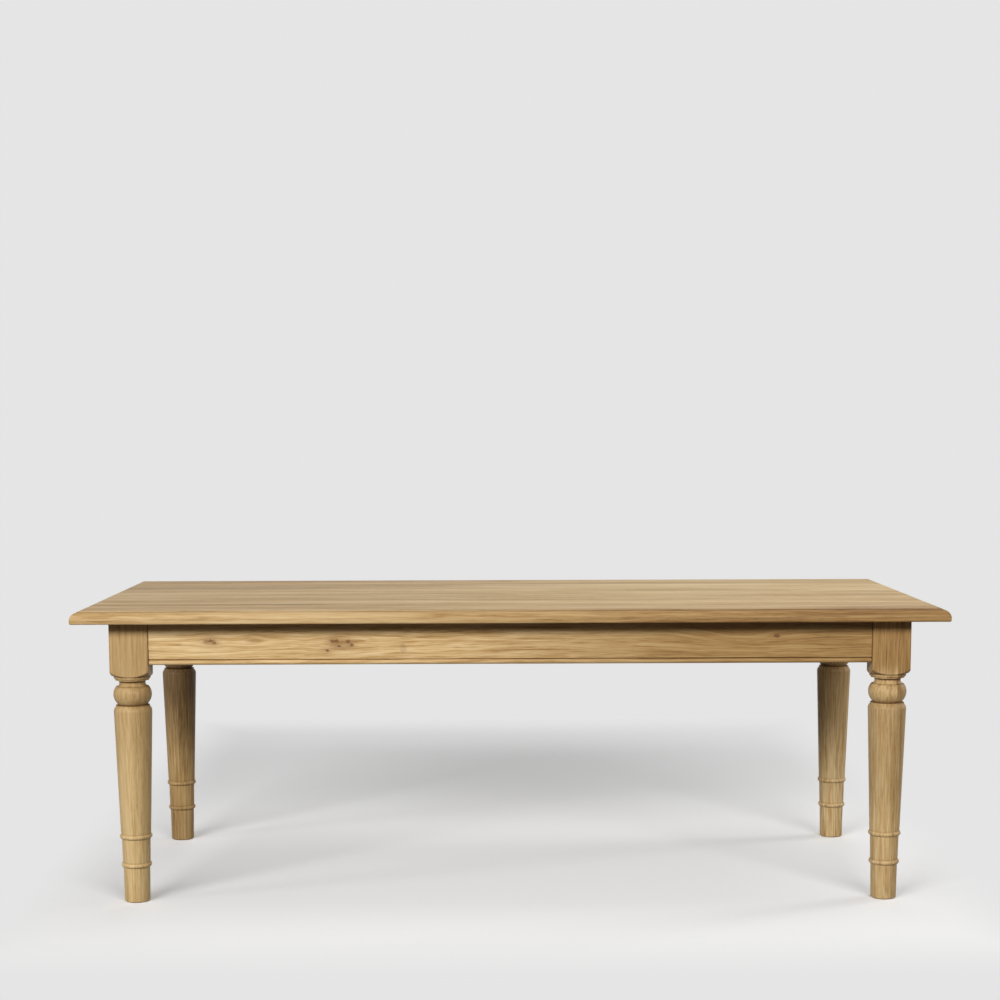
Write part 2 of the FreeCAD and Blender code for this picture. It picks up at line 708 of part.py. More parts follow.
def corner_fixings():
    """Hanger bolts, their washers and nuts, and the corner block screws, at all four corners."""
    along_bolt = Rotation(UP, DIAGONAL)
    block_back = f"({flat_reach} + Size.clamp_gap + Size.corner_thickness)"
    bolt = doc.addObject("Part::Cylinder", "hanger_bolt")
    bolt.setExpression("Radius", "Size.bolt_radius")
    bolt.setExpression("Height", "Size.bolt_bite + Size.clamp_gap + Size.corner_thickness"
                                 " + Size.washer_thickness + Size.nut_height + Size.bolt_tail")
    washer = ring("bolt_washer", "Size.washer_radius", "Size.bolt_radius + Size.fit_clearance",
                  "Size.washer_thickness")
    nut = hexagon_nut("bolt_nut")
    fixings = []
    for name, piece, reach in (
            ("hanger_bolts", bolt, f"({flat_reach} - Size.bolt_bite)"),
            ("bolt_washers", washer, block_back),
            ("bolt_nuts", nut, f"({block_back} + Size.washer_thickness)")):
        members = [
            copy_of(piece, f"{name}_at_{index}", f"{reach} / sqrt(2)", f"{reach} / sqrt(2)",
                    f"{corner_base} + {share} * Size.corner_height", along_bolt)
            for index, share in enumerate(BOLT_HEIGHT_SHARES)
        ]
        fixings.append(at_corners(name, members))

    ear_screw = screw("corner_screw", "Size.corner_screw_length")
    into_front = Rotation(ALONG, -90)
    into_end = Rotation(DEEP, 90)
    members = []
    for index, share in enumerate(EAR_SCREW_HEIGHT_SHARES):
        height = f"{corner_base} + {share} * Size.corner_height"
        members.append(copy_of(ear_screw, f"front_ear_screw_{index}", ear_middle, ear_face, height,
                               into_front))
        members.append(copy_of(ear_screw, f"end_ear_screw_{index}", ear_face, ear_middle, height,
                               into_end))
    fixings.append(at_corners("corner_block_screws", members))
    return fixings


def top_fixings():
    """Buttons round the aprons and screws through the bearers, with their washers."""
    button = top_button("button")
    button_screw = screw("button_screw", "Size.button_screw_length")
    bearer_screw = screw("bearer_screw", "Size.bearer_screw_length")
    washer = ring("bearer_washer", "Size.screw_washer_radius", hole_radius, "Size.screw_washer_thickness")
    upwards = Rotation(ALONG, FULL_TURN / 2)

    spots = []
    for depth, turn in ((-1, 0), (1, 180)):
        spots += [(across, f"{depth} * {side_button_y}", turn) for across in side_button_places]
    for side, turn in ((-1, 270), (1, 90)):
        spots += [(f"{side} * {end_button_x}", board_middle(number), turn)
                  for number in END_BUTTON_BOARDS]
    buttons = []
    button_screws = []
    for index, (across, deep, turn) in enumerate(spots):
        buttons.append(copy_of(button, f"button_{index}", across, deep, under_top, about_upright(turn)))
        button_screws.append(copy_of(button_screw, f"button_screw_{index}", across, deep,
                                     f"{under_top} - Size.button_height", upwards))

    seat = f"({under_top} - Size.bearer_height + Size.counterbore_depth - Size.screw_washer_thickness)"
    bearer_screws = []
    bearer_washers = []
    for across in bearer_places:
        for number in bearer_boards:
            index = len(bearer_screws)
            deep = board_middle(number)
            bearer_screws.append(copy_of(bearer_screw, f"bearer_screw_{index}", across, deep, seat, upwards))
            bearer_washers.append(copy_of(washer, f"bearer_washer_{index}", across, deep, seat))
    return [
        group("top_buttons", buttons),
        group("button_screws", button_screws),
        group("bearer_screws", bearer_screws),
        group("bearer_washers", bearer_washers),
    ]


def build():
    """Every piece of the table, in the order that it goes together."""
    pieces = [leg(*corner) for corner in CORNERS]
    pieces += [
        apron("front", long_apron, leg_x, "0", f"-{apron_y}", 0, bearers=True),
        apron("right", short_apron, leg_y, apron_x, "0", 90, bearers=False),
        apron("back", long_apron, leg_x, "0", apron_y, 180, bearers=True),
        apron("left", short_apron, leg_y, f"-{apron_x}", "0", 270, bearers=False),
    ]
    pieces += [corner_block(*corner) for corner in CORNERS]
    pieces += [bearer(name, middle) for name, middle in zip(("left", "right"), bearer_places)]
    pieces += [top_board(number) for number in range(1, BOARD_COUNT + 1)]
    pieces += [top_tongue(number) for number in range(1, BOARD_COUNT)]
    pieces += corner_fixings()
    pieces += top_fixings()
    doc.recompute()
    return pieces


def check(pieces):
    """Stop with a plain message if any object failed or any piece has no sound shape."""
    failed = [item.Name for item in doc.Objects if {"Invalid", "Error"} & set(item.State)]
    unsound = [piece.Label for piece in pieces if piece.Shape.isNull() or not piece.Shape.isValid()]
    if failed or unsound:
        raise RuntimeError(f"failed objects: {failed}; unsound shapes: {unsound}")


def write(pieces):
    """Write each piece to a file named after it."""
    os.makedirs("parts", exist_ok=True)
    for piece in pieces:
        piece.Shape.exportStep(f"parts/{piece.Label}.step")
        print(f"{piece.Label}: {len(piece.Shape.Solids)} solids, {piece.Shape.Volume / 1000:.1f} cm3")


table = build()
check(table)
write(table)
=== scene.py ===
"""Refectory table in oiled oak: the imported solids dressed, lit and framed in a pale studio."""

import logging
import math
from collections.abc import Callable, Iterable, Mapping, Sequence
from dataclasses import dataclass, field, replace
from enum import Enum

import bmesh
import bpy
import numpy as np
from mathutils import Matrix, Vector


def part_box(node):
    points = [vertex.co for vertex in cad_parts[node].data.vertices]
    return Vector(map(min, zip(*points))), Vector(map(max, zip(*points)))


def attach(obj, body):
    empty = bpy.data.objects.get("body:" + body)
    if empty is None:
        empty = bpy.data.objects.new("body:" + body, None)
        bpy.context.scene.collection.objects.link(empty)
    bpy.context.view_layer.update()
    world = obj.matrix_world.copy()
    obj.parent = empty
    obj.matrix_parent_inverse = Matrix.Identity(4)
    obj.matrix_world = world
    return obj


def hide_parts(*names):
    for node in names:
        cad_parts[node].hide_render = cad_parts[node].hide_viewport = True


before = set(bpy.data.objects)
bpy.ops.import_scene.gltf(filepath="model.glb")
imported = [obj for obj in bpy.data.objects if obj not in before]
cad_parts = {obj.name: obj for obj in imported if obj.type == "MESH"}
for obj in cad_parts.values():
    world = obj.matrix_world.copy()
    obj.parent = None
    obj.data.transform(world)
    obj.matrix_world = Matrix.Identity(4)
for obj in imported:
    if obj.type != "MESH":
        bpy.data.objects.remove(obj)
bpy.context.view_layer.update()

log = logging.getLogger("refectory_table")

BODY = "root"
MERGE_DISTANCE = 1e-5

Colour = tuple[float, float, float, float]
Place = tuple[float, float, float]

WHITE: Colour = (1.0, 1.0, 1.0, 1.0)


def paint(red: int, green: int, blue: int) -> Colour:
    """Linear colour for a colour given on the usual 0 to 255 scale.

    Args:
        red: Red, from 0 to 255.
        green: Green, from 0 to 255.
        blue: Blue, from 0 to 255.

    Returns:
        The colour as Blender's sockets take it.
    """
    shares = [part / 255 for part in (red, green, blue)]
    linear = [s / 12.92 if s <= 0.04045 else ((s + 0.055) / 1.055) ** 2.4 for s in shares]
    return linear[0], linear[1], linear[2], 1.0


def operator(operation: str, swapped: bool = False) -> "Callable[[Value, Number], Value]":
    """Make an operator that adds a Math node.

    Args:
        operation: The node's operation.
        swapped: Whether the other term comes first.

    Returns:
        The operator, for a Value.
    """
    def operate(value: "Value", other: "Number") -> "Value":
        """Add the node and give its result."""
        terms = (other, value) if swapped else (value, other)
        return value.graph.maths(operation, *terms)

    return operate


class Value:
    """A number that varies over a surface: an output socket that takes part in sums."""

    __add__ = operator("ADD")
    __radd__ = operator("ADD", swapped=True)
    __sub__ = operator("SUBTRACT")
    __rsub__ = operator("SUBTRACT", swapped=True)
    __mul__ = operator("MULTIPLY")
    __rmul__ = operator("MULTIPLY", swapped=True)
    __truediv__ = operator("DIVIDE")
    __pow__ = operator("POWER")

    def __init__(self, graph: "Graph", socket: bpy.types.NodeSocket) -> None:
        """Keep the socket and the graph that new Math nodes go into."""
        self.graph = graph
        self.socket = socket

    def __neg__(self) -> "Value":
        """This with its sign turned."""
        return self.graph.maths("MULTIPLY", self, -1.0)

    def __abs__(self) -> "Value":
        """This without its sign."""
        return self.graph.maths("ABSOLUTE", self)


Number = float | Value
Feed = Value | bpy.types.NodeSocket | float | int | bool | str | Sequence[float] | bpy.types.ID


class Graph:
    """A node tree under construction, for a material, the world or a modifier."""

    def __init__(self, tree: bpy.types.NodeTree) -> None:
        """Start from an empty tree."""
        self.tree = tree
        tree.nodes.clear()

    def add(self, kind: str, settings: Mapping[str, object] | None = None,
            sockets: Mapping[str | int, Feed] | None = None) -> bpy.types.Node:
        """Add one node.

        Args:
            kind: The node's type name.
            settings: Properties to set first; "stops" gives a ramp's (place, colour) pairs.
            sockets: Values or links for the inputs, by name or by number.

        Returns:
            The new node.
        """
        node = self.tree.nodes.new(kind)
        for name, setting in (settings or {}).items():
            if name == "stops":
                self._set_stops(node.color_ramp, setting)
            else:
                setattr(node, name, setting)
        for key, feed in (sockets or {}).items():
            self.link(node.inputs[key], feed)
        return node

    def link(self, socket: bpy.types.NodeSocket, feed: Feed) -> None:
        """Link an input to an output, or set the value that it rests on.

        Args:
            socket: The input socket.
            feed: A value, an output socket or a plain setting.
        """
        if isinstance(feed, Value):
            self.tree.links.new(feed.socket, socket)
        elif isinstance(feed, bpy.types.NodeSocket):
            self.tree.links.new(feed, socket)
        else:
            socket.default_value = feed

    @staticmethod
    def _set_stops(ramp: bpy.types.ColorRamp, stops: Iterable[tuple[float, Colour]]) -> None:
        """Give a colour ramp its stops.

        Args:
            ramp: The ramp of a new node, which has two stops.
            stops: Places and colours, in order.
        """
        for index, (place, colour) in enumerate(stops):
            stop = ramp.elements[index] if index < 2 else ramp.elements.new(place)
            stop.position = place
            stop.color = colour

    def maths(self, operation: str, *terms: Number) -> Value:
        """Add a Math node.

        Args:
            operation: The node's operation.
            terms: Its inputs, in order.

        Returns:
            The result.
        """
        node = self.add("ShaderNodeMath", {"operation": operation}, dict(enumerate(terms)))
        return Value(self, node.outputs[0])

    def smooth(self, value: Value, low: float, high: float) -> Value:
        """Ease a value from 0 at one level to 1 at another.

        Args:
            value: The value to ease.
            low: The level that gives 0.
            high: The level that gives 1.

        Returns:
            The eased value.
        """
        node = self.add("ShaderNodeMapRange", {"interpolation_type": "SMOOTHSTEP"},
                        {"Value": value, "From Min": low, "From Max": high})
        return Value(self, node.outputs["Result"])

    def vector(self, across: Number, deep: Number, up: Number) -> bpy.types.NodeSocket:
        """Join three numbers to a vector."""
        return self.add("ShaderNodeCombineXYZ", {}, {0: across, 1: deep, 2: up}).outputs[0]

    def noise(self, vector: bpy.types.NodeSocket, detail: float = 2.0,
              roughness: float = 0.5) -> tuple[Value, bpy.types.NodeSocket]:
        """Add fractal noise at a scale of one.

        Args:
            vector: Where the noise is read.
            detail: How many octaves it has.
            roughness: How strong the finer octaves are.

        Returns:
            The noise as a number, and as a colour with three independent parts.
        """
        node = self.add("ShaderNodeTexNoise", {"normalize": True},
                        {"Vector": vector, "Scale": 1.0, "Detail": detail, "Roughness": roughness})
        return Value(self, node.outputs[0]), node.outputs[1]

    def parts(self, vector: bpy.types.NodeSocket) -> tuple[Value, Value, Value]:
        """Part a vector or a colour into three numbers.

        Args:
            vector: The vector or colour.

        Returns:
            Its parts, in order.
        """
        node = self.add("ShaderNodeSeparateXYZ", {}, {0: vector})
        across, deep, up = (Value(self, output) for output in node.outputs)
        return across, deep, up

    def mix(self, share: Number, first: Feed, second: Feed,
            blend: str = "MIX") -> bpy.types.NodeSocket:
        """Mix two colours.

        Args:
            share: How much of the second shows, from 0 to 1.
            first: The colour underneath.
            second: The colour on top.
            blend: The way that they mix.

        Returns:
            The mixed colour.
        """
        settings = {"data_type": "RGBA", "blend_type": blend, "clamp_factor": True}
        return self.add("ShaderNodeMix", settings, {0: share, 6: first, 7: second}).outputs[2]

    def stain(self, share: Number, colour: Feed, tint: Colour) -> bpy.types.NodeSocket:
        """Darken a colour with a share of a tint."""
        return self.mix(share, colour, tint, "MULTIPLY")

    def object_place(self) -> tuple[Value, Value, Value]:
        """Places across, in depth and up, in the piece's own coordinates."""
        return self.parts(self.add("ShaderNodeTexCoord").outputs["Object"])

    def attribute(self, name: str) -> Value:
        """A number that the mesh carries under a name."""
        node = self.add("ShaderNodeAttribute", {"attribute_name": name})
        return Value(self, node.outputs["Fac"])

    def surface(self, shader: bpy.types.Node) -> None:
        """End a material with its shader."""
        self.add("ShaderNodeOutputMaterial", {}, {"Surface": shader.outputs[0]})


def new_material(name: str) -> tuple[bpy.types.Material, Graph]:
    """Start a material.

    Args:
        name: The material's name.

    Returns:
        The material and its empty tree.
    """
    made = bpy.data.materials.new(name)
    made.use_nodes = True
    return made, Graph(made.node_tree)


class Grain(Enum):
    """The way that a piece's grain runs, as the order of its axes: along, across, across."""

    ALONG_X = (0, 1, 2)
    ALONG_X_FLAT = (0, 2, 1)
    ALONG_Y = (1, 0, 2)
    ALONG_Z = (2, 0, 1)


class Tone(Enum):
    """Colours of a cut of oak, from its darkest lines to its palest streaks."""

    SAND = (paint(174, 137, 85), paint(208, 174, 119), paint(225, 196, 144), paint(240, 216, 170))
    PALE = (paint(166, 128, 78), paint(197, 162, 109), paint(214, 183, 132), paint(230, 205, 158))
    STRAW = (paint(156, 114, 62), paint(200, 163, 107), paint(222, 190, 138), paint(240, 213, 164))
    HONEY = (paint(150, 112, 65), paint(188, 152, 100), paint(209, 176, 125), paint(226, 198, 150))
    GREY = (paint(154, 119, 74), paint(190, 156, 106), paint(209, 179, 130), paint(224, 198, 152))
    OLIVE = (paint(136, 101, 56), paint(167, 132, 82), paint(186, 153, 102), paint(204, 174, 125))
    BROWN = (paint(126, 90, 49), paint(152, 115, 66), paint(170, 134, 82), paint(186, 153, 100))
    DARK = (paint(104, 77, 44), paint(132, 102, 62), paint(150, 121, 78), paint(168, 140, 96))
    RAW = (paint(160, 126, 86), paint(192, 162, 118), paint(210, 184, 144), paint(224, 202, 166))


@dataclass(frozen=True)
class Knot:
    """A pin knot, stain or swirl in the face of a piece, placed along and up it from the pith."""

    along: float
    up: float
    length: float
    height: float
    darkness: float
    swirl: float = 0.0
    hard: bool = True


@dataclass(frozen=True)
class Shade:
    """A stretch of a piece painted darker, some of them as painted shade: its strength, and the
    heights over which it comes and goes.
    """

    strength: float
    rise: tuple[float, float]
    fall: tuple[float, float] | None = None


@dataclass(frozen=True)
class Oak:
    """Oiled oak sawn from one trunk: rings about a pith, pores, streaks and a slow drift of tone.
    """

    name: str
    grain: Grain
    pith: Place
    seed: float
    tone: Tone = Tone.HONEY
    end_tone: Tone | None = None
    turn_along: tuple[float, float] = (0.0, 1.0)
    turn_below: tuple[float, float] | None = None
    lean: float = 0.016
    wander: float = 0.014
    figure: float = 0.75
    spread: float = 0.12
    joint: float | None = None
    knots: tuple[Knot, ...] = ()
    # creases: heights and strengths of painted shade, dark lines painted where shade falls in
    # creases.
    creases: tuple[tuple[float, float], ...] = ()
    crease_shade_width: tuple[float, float] = (0.0032, 0.0008)
    # gaps: places along the grain of painted shadow in the joints where a piece meets another.
    gap_shadows: tuple[float, ...] = ()
    glue_lines: tuple[float, ...] = ()
    # shades: stretches painted darker, some of them as painted shade.
    shades: tuple[Shade, ...] = ()

    BANDS = (0.7, 75.0)
    STREAKS = (4.5, 150.0)
    LINES = (12.0, 330.0)
    PORES = (34.0, 900.0)
    DRIFT = (0.9, 11.0)
    SWAY = (1.7, 4.0)
    RING_SWAY = 0.006
    DRAWN = (0.5, 0.9, 0.8)
    FINER = 0.6
    TURN_SWAY = 0.25
    STOPS = (0.2, 0.42, 0.58, 0.8)
    STAVE_SHIFT = (0.07, 0.006, 0.004)
    CRUMBLE = (210.0, 330.0)
    SWIRL_REACH = 2.2
    HALO_REACH = 2.4
    END_GRAIN = (0.75, 0.97)
    # Widths of the painted shadow in joint gaps.
    GAP_SHADOW_WIDTH = (0.0026, 0.0008)
    GLUE_WIDTH = (0.0014, 0.0003)
    RELIEF = {"Strength": 0.22, "Distance": 0.0006}
    SHEEN = 0.25
    PORE_TINT = paint(130, 100, 66)
    KNOT_TINT = paint(150, 104, 60)
    STAIN_TINT = paint(96, 72, 48)
    CORE_TINT = paint(84, 55, 30)
    END_TINT = paint(150, 112, 68)
    # Tints of painted shade: in creases and darker stretches, and in joint gaps.
    PAINTED_SHADE_TINT = paint(120, 92, 60)
    GAP_SHADOW_TINT = paint(90, 68, 44)
    GLUE_TINT = paint(110, 84, 54)

    def material(self) -> bpy.types.Material:
        """Build the material.

        Returns:
            A procedural oak that reads its piece's own coordinates.
        """
        made, graph = new_material(self.name)
        along, across, up = self._from_pith(graph)
        pale, pore, drift = self._figure(graph, along, across, up)
        colour = self._colour(graph, along, up, pale, pore, drift)
        colour, knot_depth = self._knots(graph, colour, along, up)
        colour = self._ends_and_creases(graph, colour)
        height = 0.5 * pale - pore - 0.8 * knot_depth
        bump = graph.add("ShaderNodeBump", {}, {"Height": height, **self.RELIEF})
        rough = 0.5 + 0.12 * pore - 0.06 * pale + 0.08 * drift
        graph.surface(graph.add("ShaderNodeBsdfPrincipled", {}, {
            "Base Color": colour, "Roughness": rough, "Normal": bump.outputs[0],
            "Specular IOR Level": self.SHEEN}))
        return made

    def _from_pith(self, graph: Graph) -> tuple[Value, Value, Value]:
        """Places from the pith, shifted past a glue line where a blank is built up from two staves.

        Args:
            graph: The material's tree.

        Returns:
            The place along the grain and the two across it.
        """
        places = graph.object_place()
        found = [places[axis] - self.pith[axis] for axis in self.grain.value]
        if self.joint is not None:
            beyond = graph.maths("GREATER_THAN", found[1], self.joint)
            found = [place + shift * beyond for place, shift in zip(found, self.STAVE_SHIFT)]
        along, across, up = found
        return along, across, up

    def _figure(self, graph: Graph, along: Value, across: Value,
                up: Value) -> tuple[Value, Value, Value]:
        """Streaks that follow the rings, pores and the slow drift of tone.

        Args:
            graph: The material's tree.
            along: Place along the grain.
            across: Place across the grain.
            up: The other place across the grain.

        Returns:
            How pale the wood is, how deep the pores are and how the tone drifts, from 0 to 1.
        """
        seed = self.seed
        sway_along, sway_aside = self.SWAY
        sway_place = graph.vector(along * sway_along + seed, across * sway_aside, up * sway_aside)
        _, sway = graph.noise(sway_place, 4.0)
        sway_across, sway_up, sway_ring = graph.parts(sway)
        bent_across = across + self.wander * (sway_across - 0.5) * 2.0
        bent_up = up + self.wander * (sway_up - 0.5) * 2.0
        for knot in self.knots:
            if knot.swirl:
                near = self._near(graph, knot, along, up, self.SWIRL_REACH)
                bent_up = bent_up - knot.swirl * near * (up - knot.up)
        radius = (bent_across ** 2.0 + bent_up ** 2.0) ** 0.5
        ring = radius + self.lean * along + self.RING_SWAY * sway_ring

        def streaks(counts: tuple[float, float]) -> Value:
            """Noise about zero, drawn out along the grain."""
            place = graph.vector(
                along * counts[0] + seed, bent_across * counts[1], bent_up * counts[1])
            return graph.noise(place, 2.0, self.FINER)[0] - 0.5

        band_place = graph.vector(along * self.BANDS[0] + seed, ring * self.BANDS[1], seed)
        bands, _ = graph.noise(band_place, 4.0, self.FINER)
        drift_along, drift_aside = self.DRIFT
        drift, _ = graph.noise(graph.vector(
            along * drift_along + seed, across * drift_aside + seed, up * drift_aside))
        band_share, streak_share, line_share = self.DRAWN
        drawn = (band_share * (bands - 0.5) + streak_share * streaks(self.STREAKS)
                 + line_share * streaks(self.LINES))
        pale = 0.5 + self.figure * drawn + self.spread * (graph.smooth(drift, 0.3, 0.7) - 0.5)
        pore_along, pore_aside = self.PORES
        pore, _ = graph.noise(
            graph.vector(along * pore_along, across * pore_aside, up * pore_aside), 1.0)
        pore = graph.smooth(pore, 0.56, 0.72) * graph.smooth(pale, 0.75, 0.25)
        return pale, pore, drift

    def _colour(self, graph: Graph, along: Value, up: Value, pale: Value, pore: Value,
                drift: Value) -> bpy.types.NodeSocket:
        """Colour of the face, turning slowly from one tone to another along the piece.

        Args:
            graph: The material's tree.
            along: Place along the grain.
            up: Place up the face.
            pale: How pale the wood is.
            pore: How deep the pore is.
            drift: Slow drift of tone.

        Returns:
            The colour.
        """
        colour = self._tone_colour(graph, self.tone, pale)
        if self.end_tone is not None:
            turned = graph.smooth(along + self.TURN_SWAY * (drift - 0.5), *self.turn_along)
            if self.turn_below is not None:
                turned = turned * (1.0 - graph.smooth(up, *self.turn_below))
            colour = graph.mix(turned, colour, self._tone_colour(graph, self.end_tone, pale))
        return graph.stain(0.5 * pore, colour, self.PORE_TINT)

    def _tone_colour(self, graph: Graph, tone: Tone, pale: Value) -> bpy.types.NodeSocket:
        """Colour of the face in one tone."""
        stops = tuple(zip(self.STOPS, tone.value))
        return graph.add("ShaderNodeValToRGB", {"stops": stops}, {0: pale}).outputs[0]

    @staticmethod
    def _near(graph: Graph, knot: Knot, along: Value, up: Value, reach: float) -> Value:
        """How near a place is to a knot, from 0 to 1.

        Args:
            graph: The material's tree.
            knot: The knot.
            along: Place along the grain.
            up: Place up the face.
            reach: How many times the knot's own size it is felt.

        Returns:
            One at the knot's middle, falling away smoothly.
        """
        side = ((along - knot.along) / (knot.length * reach)) ** 2.0
        rise = ((up - knot.up) / (knot.height * reach)) ** 2.0
        return graph.maths("POWER", math.e, -(side + rise))

    def _knots(self, graph: Graph, colour: bpy.types.NodeSocket, along: Value,
               up: Value) -> tuple[bpy.types.NodeSocket, Number]:
        """Darken the knots and stains, with broken edges.

        Args:
            graph: The material's tree.
            colour: The colour of the clear wood.
            along: Place along the grain.
            up: Place up the face.

        Returns:
            The colour with its knots, and how deep each is checked.
        """
        depth: Number = 0.0
        dark = [knot for knot in self.knots if knot.darkness]
        if not dark:
            return colour, depth
        crumble, _ = graph.noise(
            graph.vector(along * self.CRUMBLE[0], up * self.CRUMBLE[1], self.seed))
        for knot in dark:
            halo = self._near(graph, knot, along, up, self.HALO_REACH) * (0.4 + 1.2 * crumble)
            rim = self.KNOT_TINT if knot.hard else self.STAIN_TINT
            colour = graph.mix(0.4 * halo * knot.darkness, colour, rim)
            if knot.hard:
                near = self._near(graph, knot, along, up, 1.0) * (0.3 + 1.4 * crumble)
                core = graph.smooth(near, 0.3, 0.75) * knot.darkness
                colour = graph.mix(0.75 * core, colour, self.CORE_TINT)
                depth = depth + core
        return colour, depth

    def _ends_and_creases(self, graph: Graph, colour: bpy.types.NodeSocket) -> bpy.types.NodeSocket:
        """Darken end grain, which drinks more oil, and glue lines; paint shade into creases and
        joint gaps, and paint the darker stretches.

        Args:
            graph: The material's tree.
            colour: The colour of the face.

        Returns:
            The colour with all of them.
        """
        normal = graph.parts(graph.add("ShaderNodeNewGeometry").outputs["Normal"])
        grain_axis, _, face_axis = self.grain.value
        end = graph.smooth(abs(normal[grain_axis]), *self.END_GRAIN)
        colour = graph.stain(0.5 * end, colour, self.END_TINT)
        places = graph.object_place()
        # Painted shade in the creases.
        for level, strength in self.creases:
            near = graph.smooth(abs(places[2] - level), *self.crease_shade_width)
            colour = graph.stain(strength * near, colour, self.PAINTED_SHADE_TINT)
        # Stretches painted darker, some of them as painted shade.
        for shade in self.shades:
            near = graph.smooth(places[2], *shade.rise)
            if shade.fall is not None:
                near = near * graph.smooth(places[2], *shade.fall)
            colour = graph.stain(shade.strength * near, colour, self.PAINTED_SHADE_TINT)
        # Painted shadow in the gaps of the joints.
        for gap in self.gap_shadows:
            near = graph.smooth(abs(places[grain_axis] - gap), *self.GAP_SHADOW_WIDTH)
            colour = graph.stain(0.85 * near, colour, self.GAP_SHADOW_TINT)
        for line in self.glue_lines:
            near = graph.smooth(abs(places[face_axis] - line), *self.GLUE_WIDTH)
            colour = graph.stain(0.6 * near, colour, self.GLUE_TINT)
        return colour


@dataclass(frozen=True)
class Beech:
    """Plain beech of the hidden tongues: pale, with short flecks."""

    name: str = "beech_tongue"

    def material(self) -> bpy.types.Material:
        """Build the material.

        Returns:
            A procedural beech.
        """
        made, graph = new_material(self.name)
        across, deep, up = graph.object_place()
        fleck, _ = graph.noise(graph.vector(across * 60.0, deep * 700.0, up * 700.0), 1.0)
        cloud, _ = graph.noise(graph.vector(across * 2.0, deep * 20.0, up * 20.0))
        colour = graph.mix(cloud, paint(214, 176, 132), paint(198, 156, 112))
        colour = graph.mix(0.5 * graph.smooth(fleck, 0.6, 0.72), colour, paint(150, 106, 70))
        graph.surface(graph.add("ShaderNodeBsdfPrincipled", {}, {
            "Base Color": colour, "Roughness": 0.55 + 0.1 * cloud}))
        return made


@dataclass(frozen=True)
class ZincSteel:
    """Bright zinc-plated steel, with a thread wherever a fixing marks one along its shank."""

    name: str = "zinc_steel"
    pitch: float = 0.00125
    clouds: float = 130.0

    def material(self) -> bpy.types.Material:
        """Build the material.

        Returns:
            A procedural plated steel that reads the attributes of the fixings.
        """
        made, graph = new_material(self.name)
        cloud, _ = graph.noise(
            graph.vector(*(place * self.clouds for place in graph.object_place())), 3.0)
        shank = graph.attribute("shank")
        thread = graph.attribute("thread")
        half_pitch = self.pitch / 2.0
        tooth = graph.maths("PINGPONG", shank, half_pitch) / half_pitch
        colour = graph.mix(cloud, paint(196, 198, 200), paint(166, 168, 168))
        # The hollows of the thread are painted darker, as painted shade.
        colour = graph.mix(0.5 * thread * (1.0 - tooth), colour, paint(96, 94, 90))
        bump = graph.add("ShaderNodeBump", {}, {
            "Height": tooth * thread + 0.1 * cloud, "Strength": 0.6, "Distance": 0.0005})
        graph.surface(graph.add("ShaderNodeBsdfPrincipled", {}, {
            "Base Color": colour, "Metallic": 1.0, "Roughness": 0.3 + 0.25 * cloud,
            "Normal": bump.outputs[0]}))
        return made


def new_object(name: str, mesh: bpy.types.Mesh) -> bpy.types.Object:
    """Put a mesh into the scene as an object at the origin.

    Args:
        name: The object's name.
        mesh: Its mesh.

    Returns:
        The object.
    """
    made = bpy.data.objects.new(name, mesh)
    bpy.context.scene.collection.objects.link(made)
    return made


def seat(piece: bpy.types.Object, node: str) -> None:
    """Let a piece stand for a solid of the frame and ride with it.

    Args:
        piece: The finished piece.
        node: The solid that it stands for.
    """
    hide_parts(node)
    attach(piece, BODY)
    log.info("%s: %d faces", piece.name, len(piece.data.polygons))


def merged_copy(node: str) -> bmesh.types.BMesh:
    """Copy a solid's mesh with its seams joined.

    Args:
        node: The solid's name.

    Returns:
        A closed mesh, for the caller to free.
    """
    copy = bmesh.new()
    copy.from_mesh(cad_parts[node].data)
    bmesh.ops.remove_doubles(copy, verts=copy.verts, dist=MERGE_DISTANCE)
    return copy


@dataclass
class Timber:
    """One sawn and planed piece, with its arrises eased by hand."""

    node: str
    finish: Oak
    slot: str
    ease: float = 0.0006
    flat_angle: float = math.radians(1.0)
    sharp_angle: float = math.radians(28.0)

    def build(self) -> None:
        """Make the piece, in the place of its solid."""
        copy = merged_copy(self.node)
        bmesh.ops.dissolve_limit(
            copy, angle_limit=self.flat_angle, verts=copy.verts, edges=copy.edges)
        mesh = bpy.data.meshes.new(self.node)
        copy.to_mesh(mesh)
        copy.free()
        mesh.shade_smooth()
        mesh.set_sharp_from_angle(angle=self.sharp_angle)
        mesh.materials.append(self.finish.material())
        piece = new_object(f"{self.node}_wood", mesh)
        eased = piece.modifiers.new("eased_arrises", "BEVEL")
        eased.width = self.ease
        eased.segments = 2
        eased.limit_method = "ANGLE"
        eased.angle_limit = self.sharp_angle
        eased.harden_normals = True
        seat(piece, self.node)


